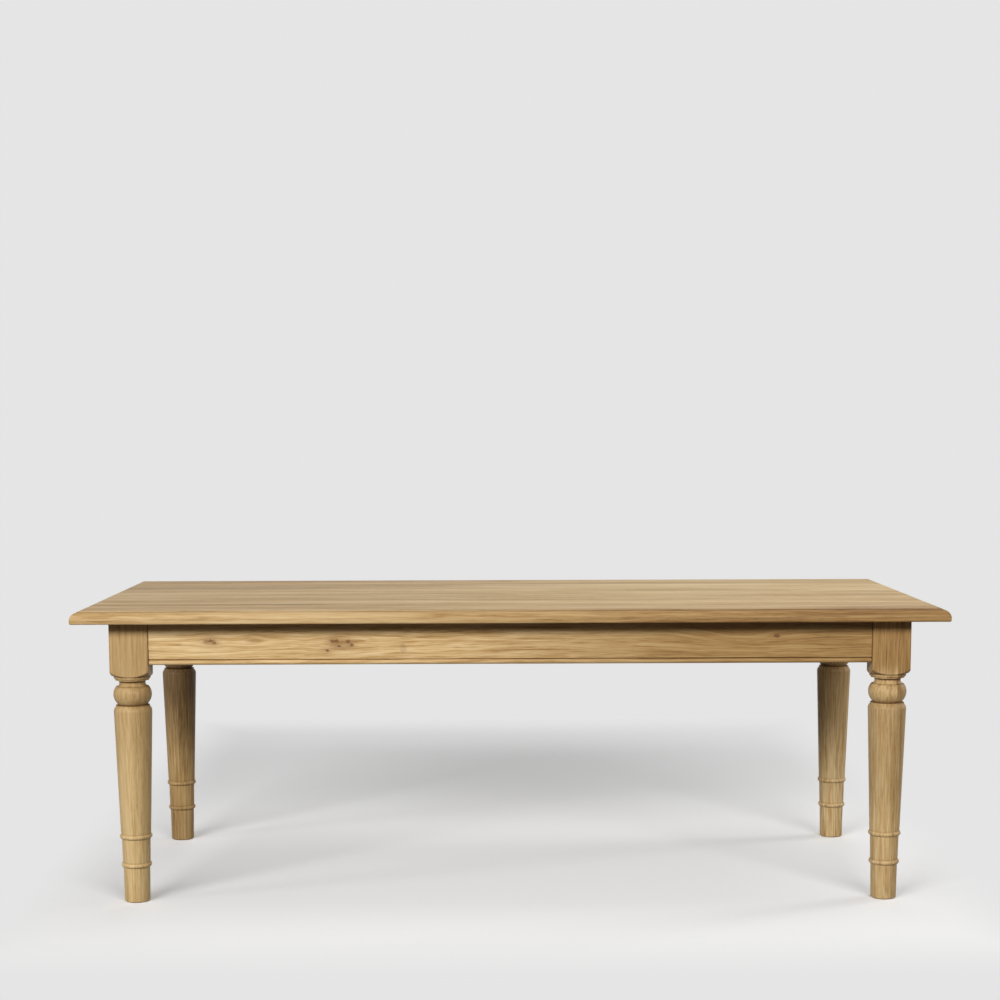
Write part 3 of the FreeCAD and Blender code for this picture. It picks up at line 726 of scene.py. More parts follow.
@dataclass
class Profile:
    """A turned outline, drawn upwards as radii at heights."""

    points: list[tuple[float, float]] = field(default_factory=list)
    arc_steps: int = 14

    def line(self, radius: float, height: float) -> None:
        """Go straight to a radius at a height."""
        self.points.append((radius, height))

    def swell(self, radius: float, height: float, level_at_end: bool) -> None:
        """Go to a radius at a height on an arc that is level with the axis at one of its ends.

        Args:
            radius: Radius at the far end.
            height: Height of the far end.
            level_at_end: Whether the arc runs level at the far end, or at the near one.
        """
        near = self.points[-1]
        level, other = ((radius, height), near) if level_at_end else (near, (radius, height))
        rise = other[0] - level[0]
        run = other[1] - level[1]
        bow = (rise ** 2 + run ** 2) / (2 * abs(rise))
        sweep = 2 * math.atan2(abs(rise), abs(run))
        steps = [
            (level[0] + math.copysign(bow * (1 - math.cos(sweep * step / self.arc_steps)), rise),
             level[1] + math.copysign(bow * math.sin(sweep * step / self.arc_steps), run))
            for step in range(self.arc_steps + 1)
        ]
        if level_at_end:
            steps.reverse()
        self.points += steps[1:]

    def round(self, radius: float, height: float, curve: float) -> None:
        """Go outwards to a radius at a height on an arc that bulges down and out.

        Args:
            radius: Radius at the far end.
            height: Height of the far end.
            curve: Radius of the arc itself.
        """
        start = Vector(self.points[-1])
        finish = Vector((radius, height))
        chord = finish - start
        centre = (start + finish) / 2 + Vector((-chord.y, chord.x)).normalized() * math.sqrt(
            curve ** 2 - (chord.length / 2) ** 2)
        first = math.atan2(start.y - centre.y, start.x - centre.x)
        last = math.atan2(finish.y - centre.y, finish.x - centre.x)
        steps = 2 * self.arc_steps
        for step in range(1, steps + 1):
            angle = first + (last - first) * step / steps
            self.points.append(
                (centre.x + curve * math.cos(angle), centre.y + curve * math.sin(angle)))


@dataclass
class TurnedLeg:
    """A leg turned from a square blank: pommel, cove, bulb, tapered shaft, two rings and a foot."""

    node: str
    finish: Oak
    inward: tuple[float, float]
    block: float = 0.098
    block_clear: float = 0.005
    arris: float = 0.0025
    bolt_flat: float = 0.034
    full: float = 0.0485
    square_end: float = 0.6085
    shoulder: tuple[float, float] = (0.0225, 0.055)
    upper_fillet: tuple[float, float] = (0.0465, 0.005)
    lower_fillet: tuple[float, float] = (0.043, 0.0045)
    cove_rim: float = 0.040
    neck: tuple[float, float] = (0.033, 0.0075)
    flare: tuple[float, float] = (0.039, 0.009)
    bulb_rim: float = 0.041
    bulb: tuple[float, float] = (0.020, 0.0265)
    waist: tuple[float, float] = (0.0367, 0.002)
    collar: tuple[float, float] = (0.043, 0.0035)
    shaft_shoulder: float = 0.012
    shaft_end: float = 0.0382
    ring_one: tuple[float, float, float] = (0.171, 0.006, 0.0414)
    ankle: tuple[float, float] = (0.0364, 0.0352)
    ring_two: tuple[float, float, float] = (0.0965, 0.006, 0.0388)
    foot: tuple[float, float] = (0.0339, 0.0325)
    foot_chamfer: float = 0.003
    sides: int = 144
    hair: float = 2e-5
    sharp_angle: float = math.radians(32.0)

    def profile(self) -> Profile:
        """Draw the turned outline from the floor to the top of the pommel.

        Returns:
            The outline.
        """
        drawn = Profile()
        level_two, half_two, radius_two = self.ring_two
        level_one, half_one, radius_one = self.ring_one
        drawn.line(self.foot[1] - self.foot_chamfer, 0.0)
        drawn.line(self.foot[1], self.foot_chamfer)
        drawn.line(self.foot[0], level_two - half_two)
        drawn.swell(radius_two, level_two, level_at_end=True)
        drawn.swell(self.ankle[1], level_two + half_two, level_at_end=False)
        drawn.line(self.ankle[0], level_one - half_one)
        drawn.swell(radius_one, level_one, level_at_end=True)
        drawn.swell(self.shaft_end, level_one + half_one, level_at_end=False)

        levels = self.levels()
        drawn.line(self.full, levels["shaft"])
        drawn.swell(self.collar[0], levels["shaft"] + self.shaft_shoulder, level_at_end=False)
        drawn.line(self.collar[0], levels["collar"] + self.collar[1])
        drawn.line(self.waist[0], levels["waist"])
        drawn.swell(self.full, levels["bulb"], level_at_end=True)
        drawn.swell(self.bulb_rim, levels["flare"], level_at_end=False)
        drawn.line(self.flare[0], levels["flare"])
        drawn.swell(self.neck[0], levels["neck"], level_at_end=True)
        drawn.swell(self.cove_rim, levels["lower_fillet"], level_at_end=False)
        drawn.line(self.lower_fillet[0], levels["lower_fillet"])
        drawn.line(self.lower_fillet[0], levels["upper_fillet"])
        drawn.line(self.upper_fillet[0], levels["upper_fillet"])
        drawn.line(self.upper_fillet[0], levels["shoulder"])
        past_block = self.block / math.sqrt(2) + self.block_clear
        drawn.round(past_block, self.square_end, self.shoulder[1])
        drawn.line(past_block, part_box(self.node)[1].z)
        return drawn

    def levels(self) -> dict[str, float]:
        """Heights of the turned members below the square, each named for the member above it.

        Returns:
            Heights by member.
        """
        down = self.square_end
        found = {}
        for name, drop in (
                ("shoulder", self.shoulder[0]), ("upper_fillet", self.upper_fillet[1]),
                ("lower_fillet", self.lower_fillet[1]), ("neck", self.neck[1]),
                ("flare", self.flare[1]), ("bulb", self.bulb[0]), ("waist", self.bulb[1]),
                ("collar", self.waist[1] + self.collar[1]), ("shaft", self.shaft_shoulder)):
            down -= drop
            found[name] = down
        return found

    def build(self) -> None:
        """Turn the leg with its node tree, in the place of its solid."""
        low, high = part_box(self.node)
        middle = ((low.x + high.x) / 2, (low.y + high.y) / 2, 0.0)
        outline = self.profile().points
        mesh = bpy.data.meshes.new(self.node)
        mesh.from_pydata([(0.0, 0.0, height) for height in self._rising(outline)],
                         [(index, index + 1) for index in range(len(outline) - 1)], [])
        radii = mesh.attributes.new("turned_radius", "FLOAT", "POINT")
        radii.data.foreach_set("value", [radius for radius, _ in outline])
        reach = self.block / math.sqrt(2) - self.bolt_flat / 2
        piece = Lathe().run(f"{self.node}_turning", mesh, {
            "Sides": self.sides, "Place": middle, "Half": self.block / 2, "Arris": self.arris,
            "Inward": (*self.inward, 0.0), "Flat": reach, "Wood": self.finish.material()})
        piece.data.shade_smooth()
        piece.data.set_sharp_from_angle(angle=self.sharp_angle)
        seat(piece, self.node)

    def _rising(self, outline: Sequence[tuple[float, float]]) -> list[float]:
        """Part the two ends of each level step by a hair, so that the lathe keeps its way.

        Args:
            outline: Radii at heights.

        Returns:
            The heights, always rising.
        """
        heights = [outline[0][1]]
        for _, height in outline[1:]:
            heights.append(max(height, heights[-1] + self.hair))
        return heights


class Tree:
    """A geometry node tree with named inputs, run once on a mesh and then taken off it."""

    name = "tree"
    inputs: tuple[tuple[str, str], ...] = ()

    def __init__(self) -> None:
        """Build the tree."""
        self.group = bpy.data.node_groups.new(self.name, "GeometryNodeTree")
        self.graph = Graph(self.group)
        sockets = self.group.interface
        sockets.new_socket("Geometry", in_out="INPUT", socket_type="NodeSocketGeometry")
        self.keys = {
            name: sockets.new_socket(name, in_out="INPUT", socket_type=kind).identifier
            for name, kind in self.inputs
        }
        sockets.new_socket("Geometry", in_out="OUTPUT", socket_type="NodeSocketGeometry")
        self.given = self.graph.add("NodeGroupInput").outputs
        real = self.graph.add("GeometryNodeRealizeInstances", {}, {0: self.shape()})
        dressed = self.graph.add("GeometryNodeSetMaterial", {}, {
            "Geometry": real.outputs[0], "Material": self.given[self.inputs[-1][0]]})
        self.graph.add("NodeGroupOutput", {}, {0: dressed.outputs[0]})

    def shape(self) -> bpy.types.NodeSocket:
        """Add the tree's own nodes and return the geometry that they make."""
        raise NotImplementedError

    def number(self, name: str) -> Value:
        """A named input as a number."""
        return Value(self.graph, self.given[name])

    def carried(self, name: str, kind: str) -> bpy.types.NodeSocket:
        """An attribute that the points carry.

        Args:
            name: The attribute's name.
            kind: Its data type.

        Returns:
            The attribute.
        """
        given = {"data_type": kind}
        node = self.graph.add("GeometryNodeInputNamedAttribute", given, {"Name": name})
        return node.outputs["Attribute"]

    def place(self) -> tuple[Value, Value, Value]:
        """Where a point is."""
        return self.graph.parts(self.graph.add("GeometryNodeInputPosition").outputs[0])

    def swept(self, line: bpy.types.NodeSocket, sides: Feed, radius: Feed) -> bpy.types.NodeSocket:
        """Sweep a round along a line.

        Args:
            line: The line.
            sides: How many sides the round has.
            radius: Its radius along the line.

        Returns:
            A closed mesh.
        """
        one_round = self.graph.add("GeometryNodeCurvePrimitiveCircle", {},
                                   {"Resolution": sides, "Radius": 1.0})
        return self.graph.add("GeometryNodeCurveToMesh", {}, {
            "Curve": line, "Profile Curve": one_round.outputs[0], "Scale": radius,
            "Fill Caps": True}).outputs[0]

    def run(self, name: str, mesh: bpy.types.Mesh, sizes: Mapping[str, Feed]) -> bpy.types.Object:
        """Run the tree on a mesh.

        Args:
            name: Name of the finished piece.
            mesh: The mesh that it starts from.
            sizes: A value for each input.

        Returns:
            A plain mesh object at the origin.
        """
        source = new_object(f"{name}_source", mesh)
        modifier = source.modifiers.new(self.name, "NODES")
        modifier.node_group = self.group
        for key, size in sizes.items():
            modifier[self.keys[key]] = size
        source.update_tag()
        evaluated = source.evaluated_get(bpy.context.evaluated_depsgraph_get())
        made = bpy.data.meshes.new_from_object(evaluated)
        source.modifiers.remove(modifier)
        bpy.data.objects.remove(source)
        made.name = name
        return new_object(name, made)


class Lathe(Tree):
    """Sweeps a round along an upright line of radii and trims it to the square blank."""

    name = "lathe"
    inputs = (
        ("Sides", "NodeSocketInt"), ("Place", "NodeSocketVector"), ("Half", "NodeSocketFloat"),
        ("Arris", "NodeSocketFloat"), ("Inward", "NodeSocketVector"), ("Flat", "NodeSocketFloat"),
        ("Wood", "NodeSocketMaterial"))
    smallest = 0.001

    def shape(self) -> bpy.types.NodeSocket:
        """Sweep, trim to the blank and set in place.

        Returns:
            The turned leg.
        """
        graph = self.graph
        line = graph.add("GeometryNodeMeshToCurve", {}, {"Mesh": self.given["Geometry"]})
        swept = self.swept(
            line.outputs[0], self.given["Sides"], self.carried("turned_radius", "FLOAT"))
        across, deep, up = self.place()
        inward = graph.parts(self.given["Inward"])
        share = self._square_share(across, deep)
        towards = across * inward[0] + deep * inward[1]
        share = graph.maths("MINIMUM", share, self._flat_share(towards))
        trimmed = graph.add("GeometryNodeSetPosition", {}, {
            "Geometry": swept, "Position": graph.vector(across * share, deep * share, up)})
        placed = graph.add("GeometryNodeTransform", {}, {
            "Geometry": trimmed.outputs[0], "Translation": self.given["Place"]})
        return placed.outputs[0]

    def _square_share(self, across: Value, deep: Value) -> Value:
        """How far in a point comes to lie on the square with rounded arrises.

        Args:
            across: Place across from the leg's axis.
            deep: Place in depth from the leg's axis.

        Returns:
            The share of its radius that it keeps, at most one.
        """
        graph = self.graph
        wide = graph.maths("MAXIMUM", abs(across), abs(deep))
        slim = graph.maths("MINIMUM", abs(across), abs(deep))
        half = self.number("Half")
        arris = self.number("Arris")
        to_face = half / wide
        core = half - arris
        slope = slim / wide
        middle_sum = core * (1.0 + slope)
        spread = 1.0 + slope * slope
        inside = middle_sum * middle_sum - spread * (2.0 * core * core - arris * arris)
        to_arris = (middle_sum + graph.maths("MAXIMUM", inside, 0.0) ** 0.5) / spread / wide
        on_arris = graph.maths("GREATER_THAN", slope * half, core)
        reach = to_face + on_arris * (to_arris - to_face)
        return graph.maths("MINIMUM", reach, 1.0)

    def _flat_share(self, towards: Value) -> Value:
        """How far in a point comes to lie on the flat that faces the corner block.

        Args:
            towards: Place along the way in, from the leg's axis.

        Returns:
            The share of its radius that it keeps.
        """
        beyond = self.graph.maths("GREATER_THAN", towards, self.number("Flat"))
        share = self.number("Flat") / self.graph.maths("MAXIMUM", towards, self.smallest)
        return 1.0 + beyond * (share - 1.0)


@dataclass
class Axis:
    """The axis of one turned solid: where it starts, the way that it runs and how far."""

    start: Vector
    way: Vector
    length: float


def islands(node: str) -> list[np.ndarray]:
    """Part a shared node into the corners of its separate solids, in the same order each time.

    Args:
        node: The node's name.

    Returns:
        One array of corners for each solid.
    """
    copy = merged_copy(node)
    left = dict.fromkeys(copy.verts)
    found = []
    while left:
        waiting = [left.popitem()[0]]
        corners = []
        while waiting:
            corner = waiting.pop()
            corners.append(corner.co[:])
            for edge in corner.link_edges:
                other = edge.other_vert(corner)
                if other in left:
                    del left[other]
                    waiting.append(other)
        found.append(np.array(corners))
    copy.free()
    return found


def long_axis(corners: np.ndarray) -> Axis:
    """Find the axis of a long turned solid, from its wider end, or from its outer end.

    Args:
        corners: The solid's corners.

    Returns:
        The axis.
    """
    middle = (corners.min(axis=0) + corners.max(axis=0)) / 2
    spread = corners - corners.mean(axis=0)
    way = np.linalg.eigh(spread.T @ spread)[1][:, -1]
    along = (corners - middle) @ way
    aside = np.linalg.norm(corners - middle - np.outer(along, way), axis=1)
    wide = along[aside > aside.max() * 0.98].mean()
    outward = wide if abs(wide) > MERGE_DISTANCE * 100 else middle @ way
    if outward > 0:
        way = -way
    length = float(along.max() - along.min())
    return Axis(Vector(middle) - Vector(way) * (length / 2), Vector(way), length)


class Fixings(Tree):
    """Sets one turned fixing, drawn along Z from its outer end, on every point of a mesh."""

    sides = 24
    sharp_angle = math.radians(35.0)

    def shape(self) -> bpy.types.NodeSocket:
        """Set the fixing on the points, along the way that each point carries.

        Returns:
            The fixings as instances.
        """
        graph = self.graph
        turn = graph.add("FunctionNodeAlignRotationToVector", {"axis": "Z"},
                         {"Vector": self.carried("way", "FLOAT_VECTOR")})
        set_out = graph.add("GeometryNodeInstanceOnPoints", {}, {
            "Points": self.given["Geometry"], "Instance": self.one(), "Rotation": turn.outputs[0]})
        return set_out.outputs[0]

    def one(self) -> bpy.types.NodeSocket:
        """Add the nodes of one fixing and return its geometry."""
        raise NotImplementedError

    def factor(self) -> Value:
        """How far along its line a point is, from 0 to 1."""
        return Value(self.graph, self.graph.add("GeometryNodeSplineParameter").outputs["Factor"])

    def from_end(self) -> Value:
        """How far from the nearer end of its line a point is, from 0 to a half."""
        factor = self.factor()
        return self.graph.maths("MINIMUM", factor, 1.0 - factor)

    def turned(self, low: Number, high: Number, radius: Number, steps: int,
               sides: int | None = None, thread: float = 0.0) -> bpy.types.NodeSocket:
        """Turn a solid along Z.

        Args:
            low: Where it starts.
            high: Where it ends.
            radius: Its radius along the way.
            steps: How many rounds it has.
            sides: How many sides a round has.
            thread: One where the solid is threaded.

        Returns:
            A closed mesh that carries its own place along Z.
        """
        graph = self.graph
        line = graph.add("GeometryNodeCurvePrimitiveLine", {}, {
            "Start": graph.vector(0.0, 0.0, low), "End": graph.vector(0.0, 0.0, high)})
        rounds = graph.add("GeometryNodeResampleCurve", {},
                           {"Curve": line.outputs[0], "Count": steps})
        solid = self.swept(rounds.outputs[0], sides or self.sides, radius)
        height = self.place()[2]
        for name, feed in (("shank", height), ("thread", thread)):
            solid = graph.add("GeometryNodeStoreNamedAttribute", {"data_type": "FLOAT"},
                              {"Geometry": solid, "Name": name, "Value": feed}).outputs[0]
        return solid

    def joined(self, *solids: bpy.types.NodeSocket) -> bpy.types.NodeSocket:
        """Join separate solids.

        Args:
            solids: The solids.

        Returns:
            All of them in one geometry.
        """
        node = self.graph.add("GeometryNodeJoinGeometry")
        for solid in solids:
            self.graph.link(node.inputs[0], solid)
        return node.outputs[0]

    def cut(self, solid: bpy.types.NodeSocket,
            *tools: bpy.types.NodeSocket) -> bpy.types.NodeSocket:
        """Cut tools out of a solid.

        Args:
            solid: What is cut.
            tools: What is taken away.

        Returns:
            What is left.
        """
        settings = {"operation": "DIFFERENCE", "solver": "EXACT"}
        node = self.graph.add("GeometryNodeMeshBoolean", settings, {"Mesh 1": solid})
        for tool in tools:
            self.graph.link(node.inputs["Mesh 2"], tool)
        return node.outputs[0]

    def bored(self, height: Value, easing: tuple[float, float], steps: int, sides: int,
              past: float) -> bpy.types.NodeSocket:
        """Turn a flat ring with eased rims.

        Args:
            height: Its height.
            easing: Share of the radius that its ends keep, and how fast the rest comes back.
            steps: How many rounds it has.
            sides: How many sides a round has.
            past: How many heights the drill goes past each end.

        Returns:
            The ring.
        """
        kept, slope = easing
        eased = self.graph.maths("MINIMUM", kept + slope * self.from_end(), 1.0)
        disc = self.turned(0.0, height, self.number("Radius") * eased, steps, sides)
        drill = self.turned(height * -past, height * (1.0 + past), self.number("Bore"), 2)
        return self.cut(disc, drill)

    def set_on(self, name: str, axes: Sequence[Axis],
               sizes: Mapping[str, Feed]) -> bpy.types.Object:
        """Set the fixing at the start of every axis.

        Args:
            name: Name of the finished piece.
            axes: Where the fixings go.
            sizes: A value for each input.

        Returns:
            All of them in one plain mesh.
        """
        mesh = bpy.data.meshes.new(name)
        mesh.from_pydata([axis.start for axis in axes], [], [])
        ways = mesh.attributes.new("way", "FLOAT_VECTOR", "POINT")
        ways.data.foreach_set("vector", [part for axis in axes for part in axis.way])
        piece = self.run(name, mesh, sizes)
        piece.data.shade_smooth()
        piece.data.set_sharp_from_angle(angle=self.sharp_angle)
        return piece


class PanHeadScrews(Fixings):
    """Pan-head wood screws with a crossed recess and a sharp point."""

    name = "pan_head_screws"
    inputs = (
        ("Length", "NodeSocketFloat"), ("Radius", "NodeSocketFloat"),
        ("Head Radius", "NodeSocketFloat"), ("Head Height", "NodeSocketFloat"),
        ("Steel", "NodeSocketMaterial"))
    dome = 0.75
    recess = (1.15, 0.26, 1.2)
    point = 2.4
    tip = 0.08
    head_steps = 7
    shank_steps = 9

    def one(self) -> bpy.types.NodeSocket:
        """Turn the head, cut its recess and add the shank.

        Returns:
            One screw.
        """
        graph = self.graph
        height = self.number("Head Height")
        head_radius = self.number("Head Radius")
        domed = head_radius * (1.0 - self.dome * (1.0 - self.factor()) ** 3.0) ** 0.5
        head = self.turned(0.0, height, domed, self.head_steps)
        wide, slim, tall = self.recess
        bars = [graph.add("GeometryNodeMeshCube", {}, {
            "Size": graph.vector(head_radius * across, head_radius * deep, height * tall)})
            for across, deep in ((wide, slim), (slim, wide))]
        head = self.cut(head, *(bar.outputs[0] for bar in bars))
        length = self.number("Length")
        left = (1.0 - self.factor()) * (length - height)
        radius = self.number("Radius")
        pointed = graph.maths("MINIMUM", left / (radius * self.point) + self.tip, 1.0)
        shank = self.turned(height, length, radius * pointed, self.shank_steps, thread=1.0)
        return self.joined(head, shank)


class HangerBolts(Fixings):
    """Threaded bolts that stand out of the legs, with eased ends."""

    name = "hanger_bolts"
    inputs = (
        ("Length", "NodeSocketFloat"), ("Radius", "NodeSocketFloat"),
        ("Steel", "NodeSocketMaterial"))
    easing = (0.72, 0.6)
    steps = 120

    def one(self) -> bpy.types.NodeSocket:
        """Turn the bolt.

        Returns:
            One bolt.
        """
        length = self.number("Length")
        radius = self.number("Radius")
        kept, slope = self.easing
        eased = self.from_end() * length / radius * slope + kept
        eased = self.graph.maths("MINIMUM", eased, 1.0)
        return self.turned(0.0, length, radius * eased, self.steps, thread=1.0)


class HexagonNuts(Fixings):
    """Hexagon nuts with chamfered corners and a bore."""

    name = "hexagon_nuts"
    inputs = (
        ("Height", "NodeSocketFloat"), ("Radius", "NodeSocketFloat"), ("Bore", "NodeSocketFloat"),
        ("Steel", "NodeSocketMaterial"))

    def one(self) -> bpy.types.NodeSocket:
        """Turn the six sides and cut the bore."""
        return self.bored(self.number("Height"), easing=(0.9, 1.2), steps=13, sides=6, past=0.5)


class Washers(Fixings):
    """Flat washers with eased rims."""

    name = "washers"
    inputs = HexagonNuts.inputs

    def one(self) -> bpy.types.NodeSocket:
        """Turn the disc and cut the bore."""
        return self.bored(self.number("Height"), easing=(0.97, 0.2), steps=7, sides=40, past=1.0)


@dataclass
class Top:
    """The top: six boards edge to edge, with loose tongues in their joints."""

    boards: int = 6
    below_pith: float = 0.11
    seed: float = 3.7
    spread: float = 0.25
    # The boards turn paler towards their right ends as painted light; the front board's moulded
    # edge turns browner there as painted shade, within the mould's reach.
    turn_along: tuple[float, float] = (-0.8, 1.0)
    front_edge_shade_turn: tuple[float, float] = (-1.35, 1.05)
    mould: tuple[float, float] = (0.022, 0.05)
    quirk: float = 0.002
    # Painted shade along the quirk of the moulded edge: its width and strength.
    quirk_shade_width: tuple[float, float] = (0.0018, 0.0004)
    quirk_shade: float = 0.33
    joints_within: float = 0.49
    stain: Knot = Knot(-0.57, -0.305, 0.055, 0.0055, 1.2, hard=False)

    TONES = (Tone.HONEY, Tone.HONEY, Tone.PALE, Tone.PALE, Tone.GREY, Tone.HONEY)
    # End tones: the paler right ends are painted light, the front board's brown edge is painted
    # shade.
    END_TONES_WITH_PAINTED_LIGHT = (Tone.BROWN, Tone.SAND, Tone.SAND, Tone.SAND, Tone.SAND, Tone.PALE)
    PITH_SHARES = (-0.25, 0.15, -0.1, 0.2, -0.2, 0.1)

    def board_oak(self, node: str, number: int) -> Oak:
        """Finish of one board: the first turns brown along its moulded edge towards the right as
        painted shade, the others turn paler towards the right as painted light, and the second is
        stained.

        Args:
            node: The board's name.
            number: Its number, from the front.

        Returns:
            The finish.
        """
        low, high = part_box(node)
        across = (low.y + high.y) / 2 + self.PITH_SHARES[number - 1] * (high.y - low.y)
        side = -1 if number % 2 else 1
        oak = Oak(
            node, Grain.ALONG_X_FLAT, (0.0, across, high.z + side * self.below_pith),
            seed=self.seed * number, tone=self.TONES[number - 1],
            end_tone=self.END_TONES_WITH_PAINTED_LIGHT[number - 1], turn_along=self.turn_along, spread=self.spread,
            # Painted shade along the quirk.
            creases=((high.z - self.quirk, self.quirk_shade),), crease_shade_width=self.quirk_shade_width,
            glue_lines=tuple(edge for edge in (low.y, high.y) if abs(edge) < self.joints_within))
        if number == 1:
            # The front board's moulded edge darkens towards the right as painted shade.
            outer, inner = (low.y + place - across for place in self.mould)
            return replace(oak, turn_along=self.front_edge_shade_turn, turn_below=(outer, inner))
        if number == 2:
            return replace(oak, knots=(replace(self.stain, up=self.stain.up - across),))
        return oak

    def build(self) -> None:
        """Dress every board, and the tongues inside the joints."""
        for number in range(1, self.boards + 1):
            node = f"top_board_{number}"
            Timber(node, self.board_oak(node, number), "oak_top").build()
        beech = Beech().material()
        for number in range(1, self.boards):
            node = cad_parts[f"top_tongue_{number}"]
            node.data.materials.clear()
            node.data.materials.append(beech)
            log.info("%s: dressed", node.name)


@dataclass
class Aprons:
    """Four beaded aprons between the legs."""

    behind_pith: float = 0.075
    pith_up: float = 0.035
    shoulder: float = 0.917
    # The long aprons turn browner towards the right: partly real tone, partly painted shade of the
    # light falling off to the right.
    turn_along: tuple[float, float] = (-0.3, 0.65)
    figure: float = 0.85
    wander: float = 0.016
    # Painted shadow of the top's overhang on the aprons: the drops below the top where it starts
    # and is full, and its strength.
    under_top: tuple[float, float] = (0.022, 0.0155)
    shadow_under_top_strength: float = 0.42

    SIDES = (("front", 1, 11.3), ("right", -1, 41.3), ("back", -1, 29.1), ("left", 1, 17.9))
    FRONT_KNOTS = (
        Knot(-0.760, 0.026, 0.020, 0.008, 0.0, 0.8),
        Knot(-0.648, 0.027, 0.026, 0.008, 0.2, 0.9),
        Knot(-0.430, 0.018, 0.036, 0.013, 0.0, 0.7),
        Knot(0.590, 0.062, 0.060, 0.018, 0.0, 0.8),
        Knot(-0.759, 0.024, 0.016, 0.009, 0.35),
        Knot(-0.758, 0.027, 0.008, 0.0045, 0.9),
        Knot(-0.749, 0.021, 0.0065, 0.0035, 0.8),
        Knot(-0.771, 0.025, 0.010, 0.006, 0.4),
        Knot(-0.430, 0.014, 0.034, 0.016, 0.3),
        Knot(-0.450, 0.025, 0.009, 0.0055, 1.0),
        Knot(-0.440, 0.025, 0.007, 0.005, 0.9),
        Knot(-0.434, 0.012, 0.006, 0.0035, 0.9),
        Knot(-0.464, 0.001, 0.006, 0.004, 0.9),
        Knot(-0.411, 0.024, 0.0065, 0.0065, 0.8),
        Knot(-0.402, 0.015, 0.005, 0.0045, 0.9),
        Knot(-0.272, 0.006, 0.010, 0.016, 0.25),
        Knot(0.674, 0.034, 0.009, 0.0055, 0.85, 0.7),
    )

    def build(self) -> None:
        """Dress the aprons, the long ones with a turn of tone that is partly painted shade, and a
        painted shadow close under the top.
        """
        for name, inward, seed in self.SIDES:
            node = f"apron_{name}"
            low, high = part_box(node)
            middle = (low + high) / 2
            base = low.z + self.pith_up
            if name in ("front", "back"):
                # Painted shadow close under the top, and in the joints with the legs.
                start, full = (high.z - drop for drop in self.under_top)
                oak = Oak(
                    node, Grain.ALONG_X, (0.0, middle.y + inward * self.behind_pith, base),
                    seed=seed, tone=Tone.STRAW, end_tone=Tone.BROWN, turn_along=self.turn_along,
                    figure=self.figure, wander=self.wander,
                    knots=self.FRONT_KNOTS if name == "front" else (),
                    gap_shadows=(-self.shoulder, self.shoulder),
                    shades=(Shade(self.shadow_under_top_strength, (start, full)),))
            else:
                oak = Oak(
                    node, Grain.ALONG_Y, (middle.x + inward * self.behind_pith, 0.0, base),
                    seed=seed, tone=Tone.HONEY)
            Timber(node, oak, "oak_apron").build()


@dataclass(frozen=True)
class Blank:
    """The blank of one leg: the way in from its corner, and how its oak looks."""

    corner: str
    inward: tuple[int, int]
    tones: tuple[Tone, Tone]
    turn_along: tuple[float, float]
    seed: float
    pith: tuple[float, float]
    figure: float
    joint: float | None = None
    shades: tuple[Shade, ...] = ()


@dataclass
class Legs:
    """Four turned legs."""

    lean: float = 0.012
    wander: float = 0.012

    # The back-left leg darkens upwards in tone and in a stretch as painted shade cast by the top
    # and aprons; the front-right leg's brown block is partly painted shade of light falling off to
    # the right. The front-right shaft's middle and the back-left foot are painted darker in
    # stretches.
    BLANKS = (
        Blank("front_left", (1, 1), (Tone.SAND, Tone.OLIVE), (0.0, 0.75), 5.2, (0.16, 0.20), 0.5),
        Blank("front_right", (-1, 1), (Tone.PALE, Tone.BROWN), (0.55, 0.60), 13.9, (-0.02, 0.07),
              0.8, 0.037, (Shade(0.22, (0.19, 0.30), (0.525, 0.505)),)),
        Blank("back_right", (-1, -1), (Tone.STRAW, Tone.BROWN), (0.1, 0.85), 23.4, (0.06, 0.08),
              0.9),
        Blank("back_left", (1, -1), (Tone.OLIVE, Tone.DARK), (0.27, 0.45), 37.7, (0.01, 0.06),
              0.9, -0.01, (Shade(0.42, (0.36, 0.46), (0.56, 0.50)), Shade(0.18, (0.14, 0.06)))),
    )
    # Painted shade in the creases of the turnings: heights and strengths.
    CREASES = (
        (0.5865, 0.3), (0.5728, 0.6), (0.5598, 0.15), (0.5135, 0.5), (0.178, 0.2), (0.1035, 0.2))

    def build(self) -> None:
        """Turn and dress the legs."""
        for blank in self.BLANKS:
            node = f"leg_{blank.corner}"
            low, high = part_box(node)
            middle = (low + high) / 2
            oak = Oak(
                node, Grain.ALONG_Z, (middle.x + blank.pith[0], middle.y + blank.pith[1], 0.0),
                seed=blank.seed, tone=blank.tones[0], end_tone=blank.tones[1],
                turn_along=blank.turn_along, lean=self.lean, wander=self.wander,
                figure=blank.figure, joint=blank.joint, creases=self.CREASES, shades=blank.shades)
            across, deep = (part / math.sqrt(2) for part in blank.inward)
            TurnedLeg(node, oak, (across, deep)).build()


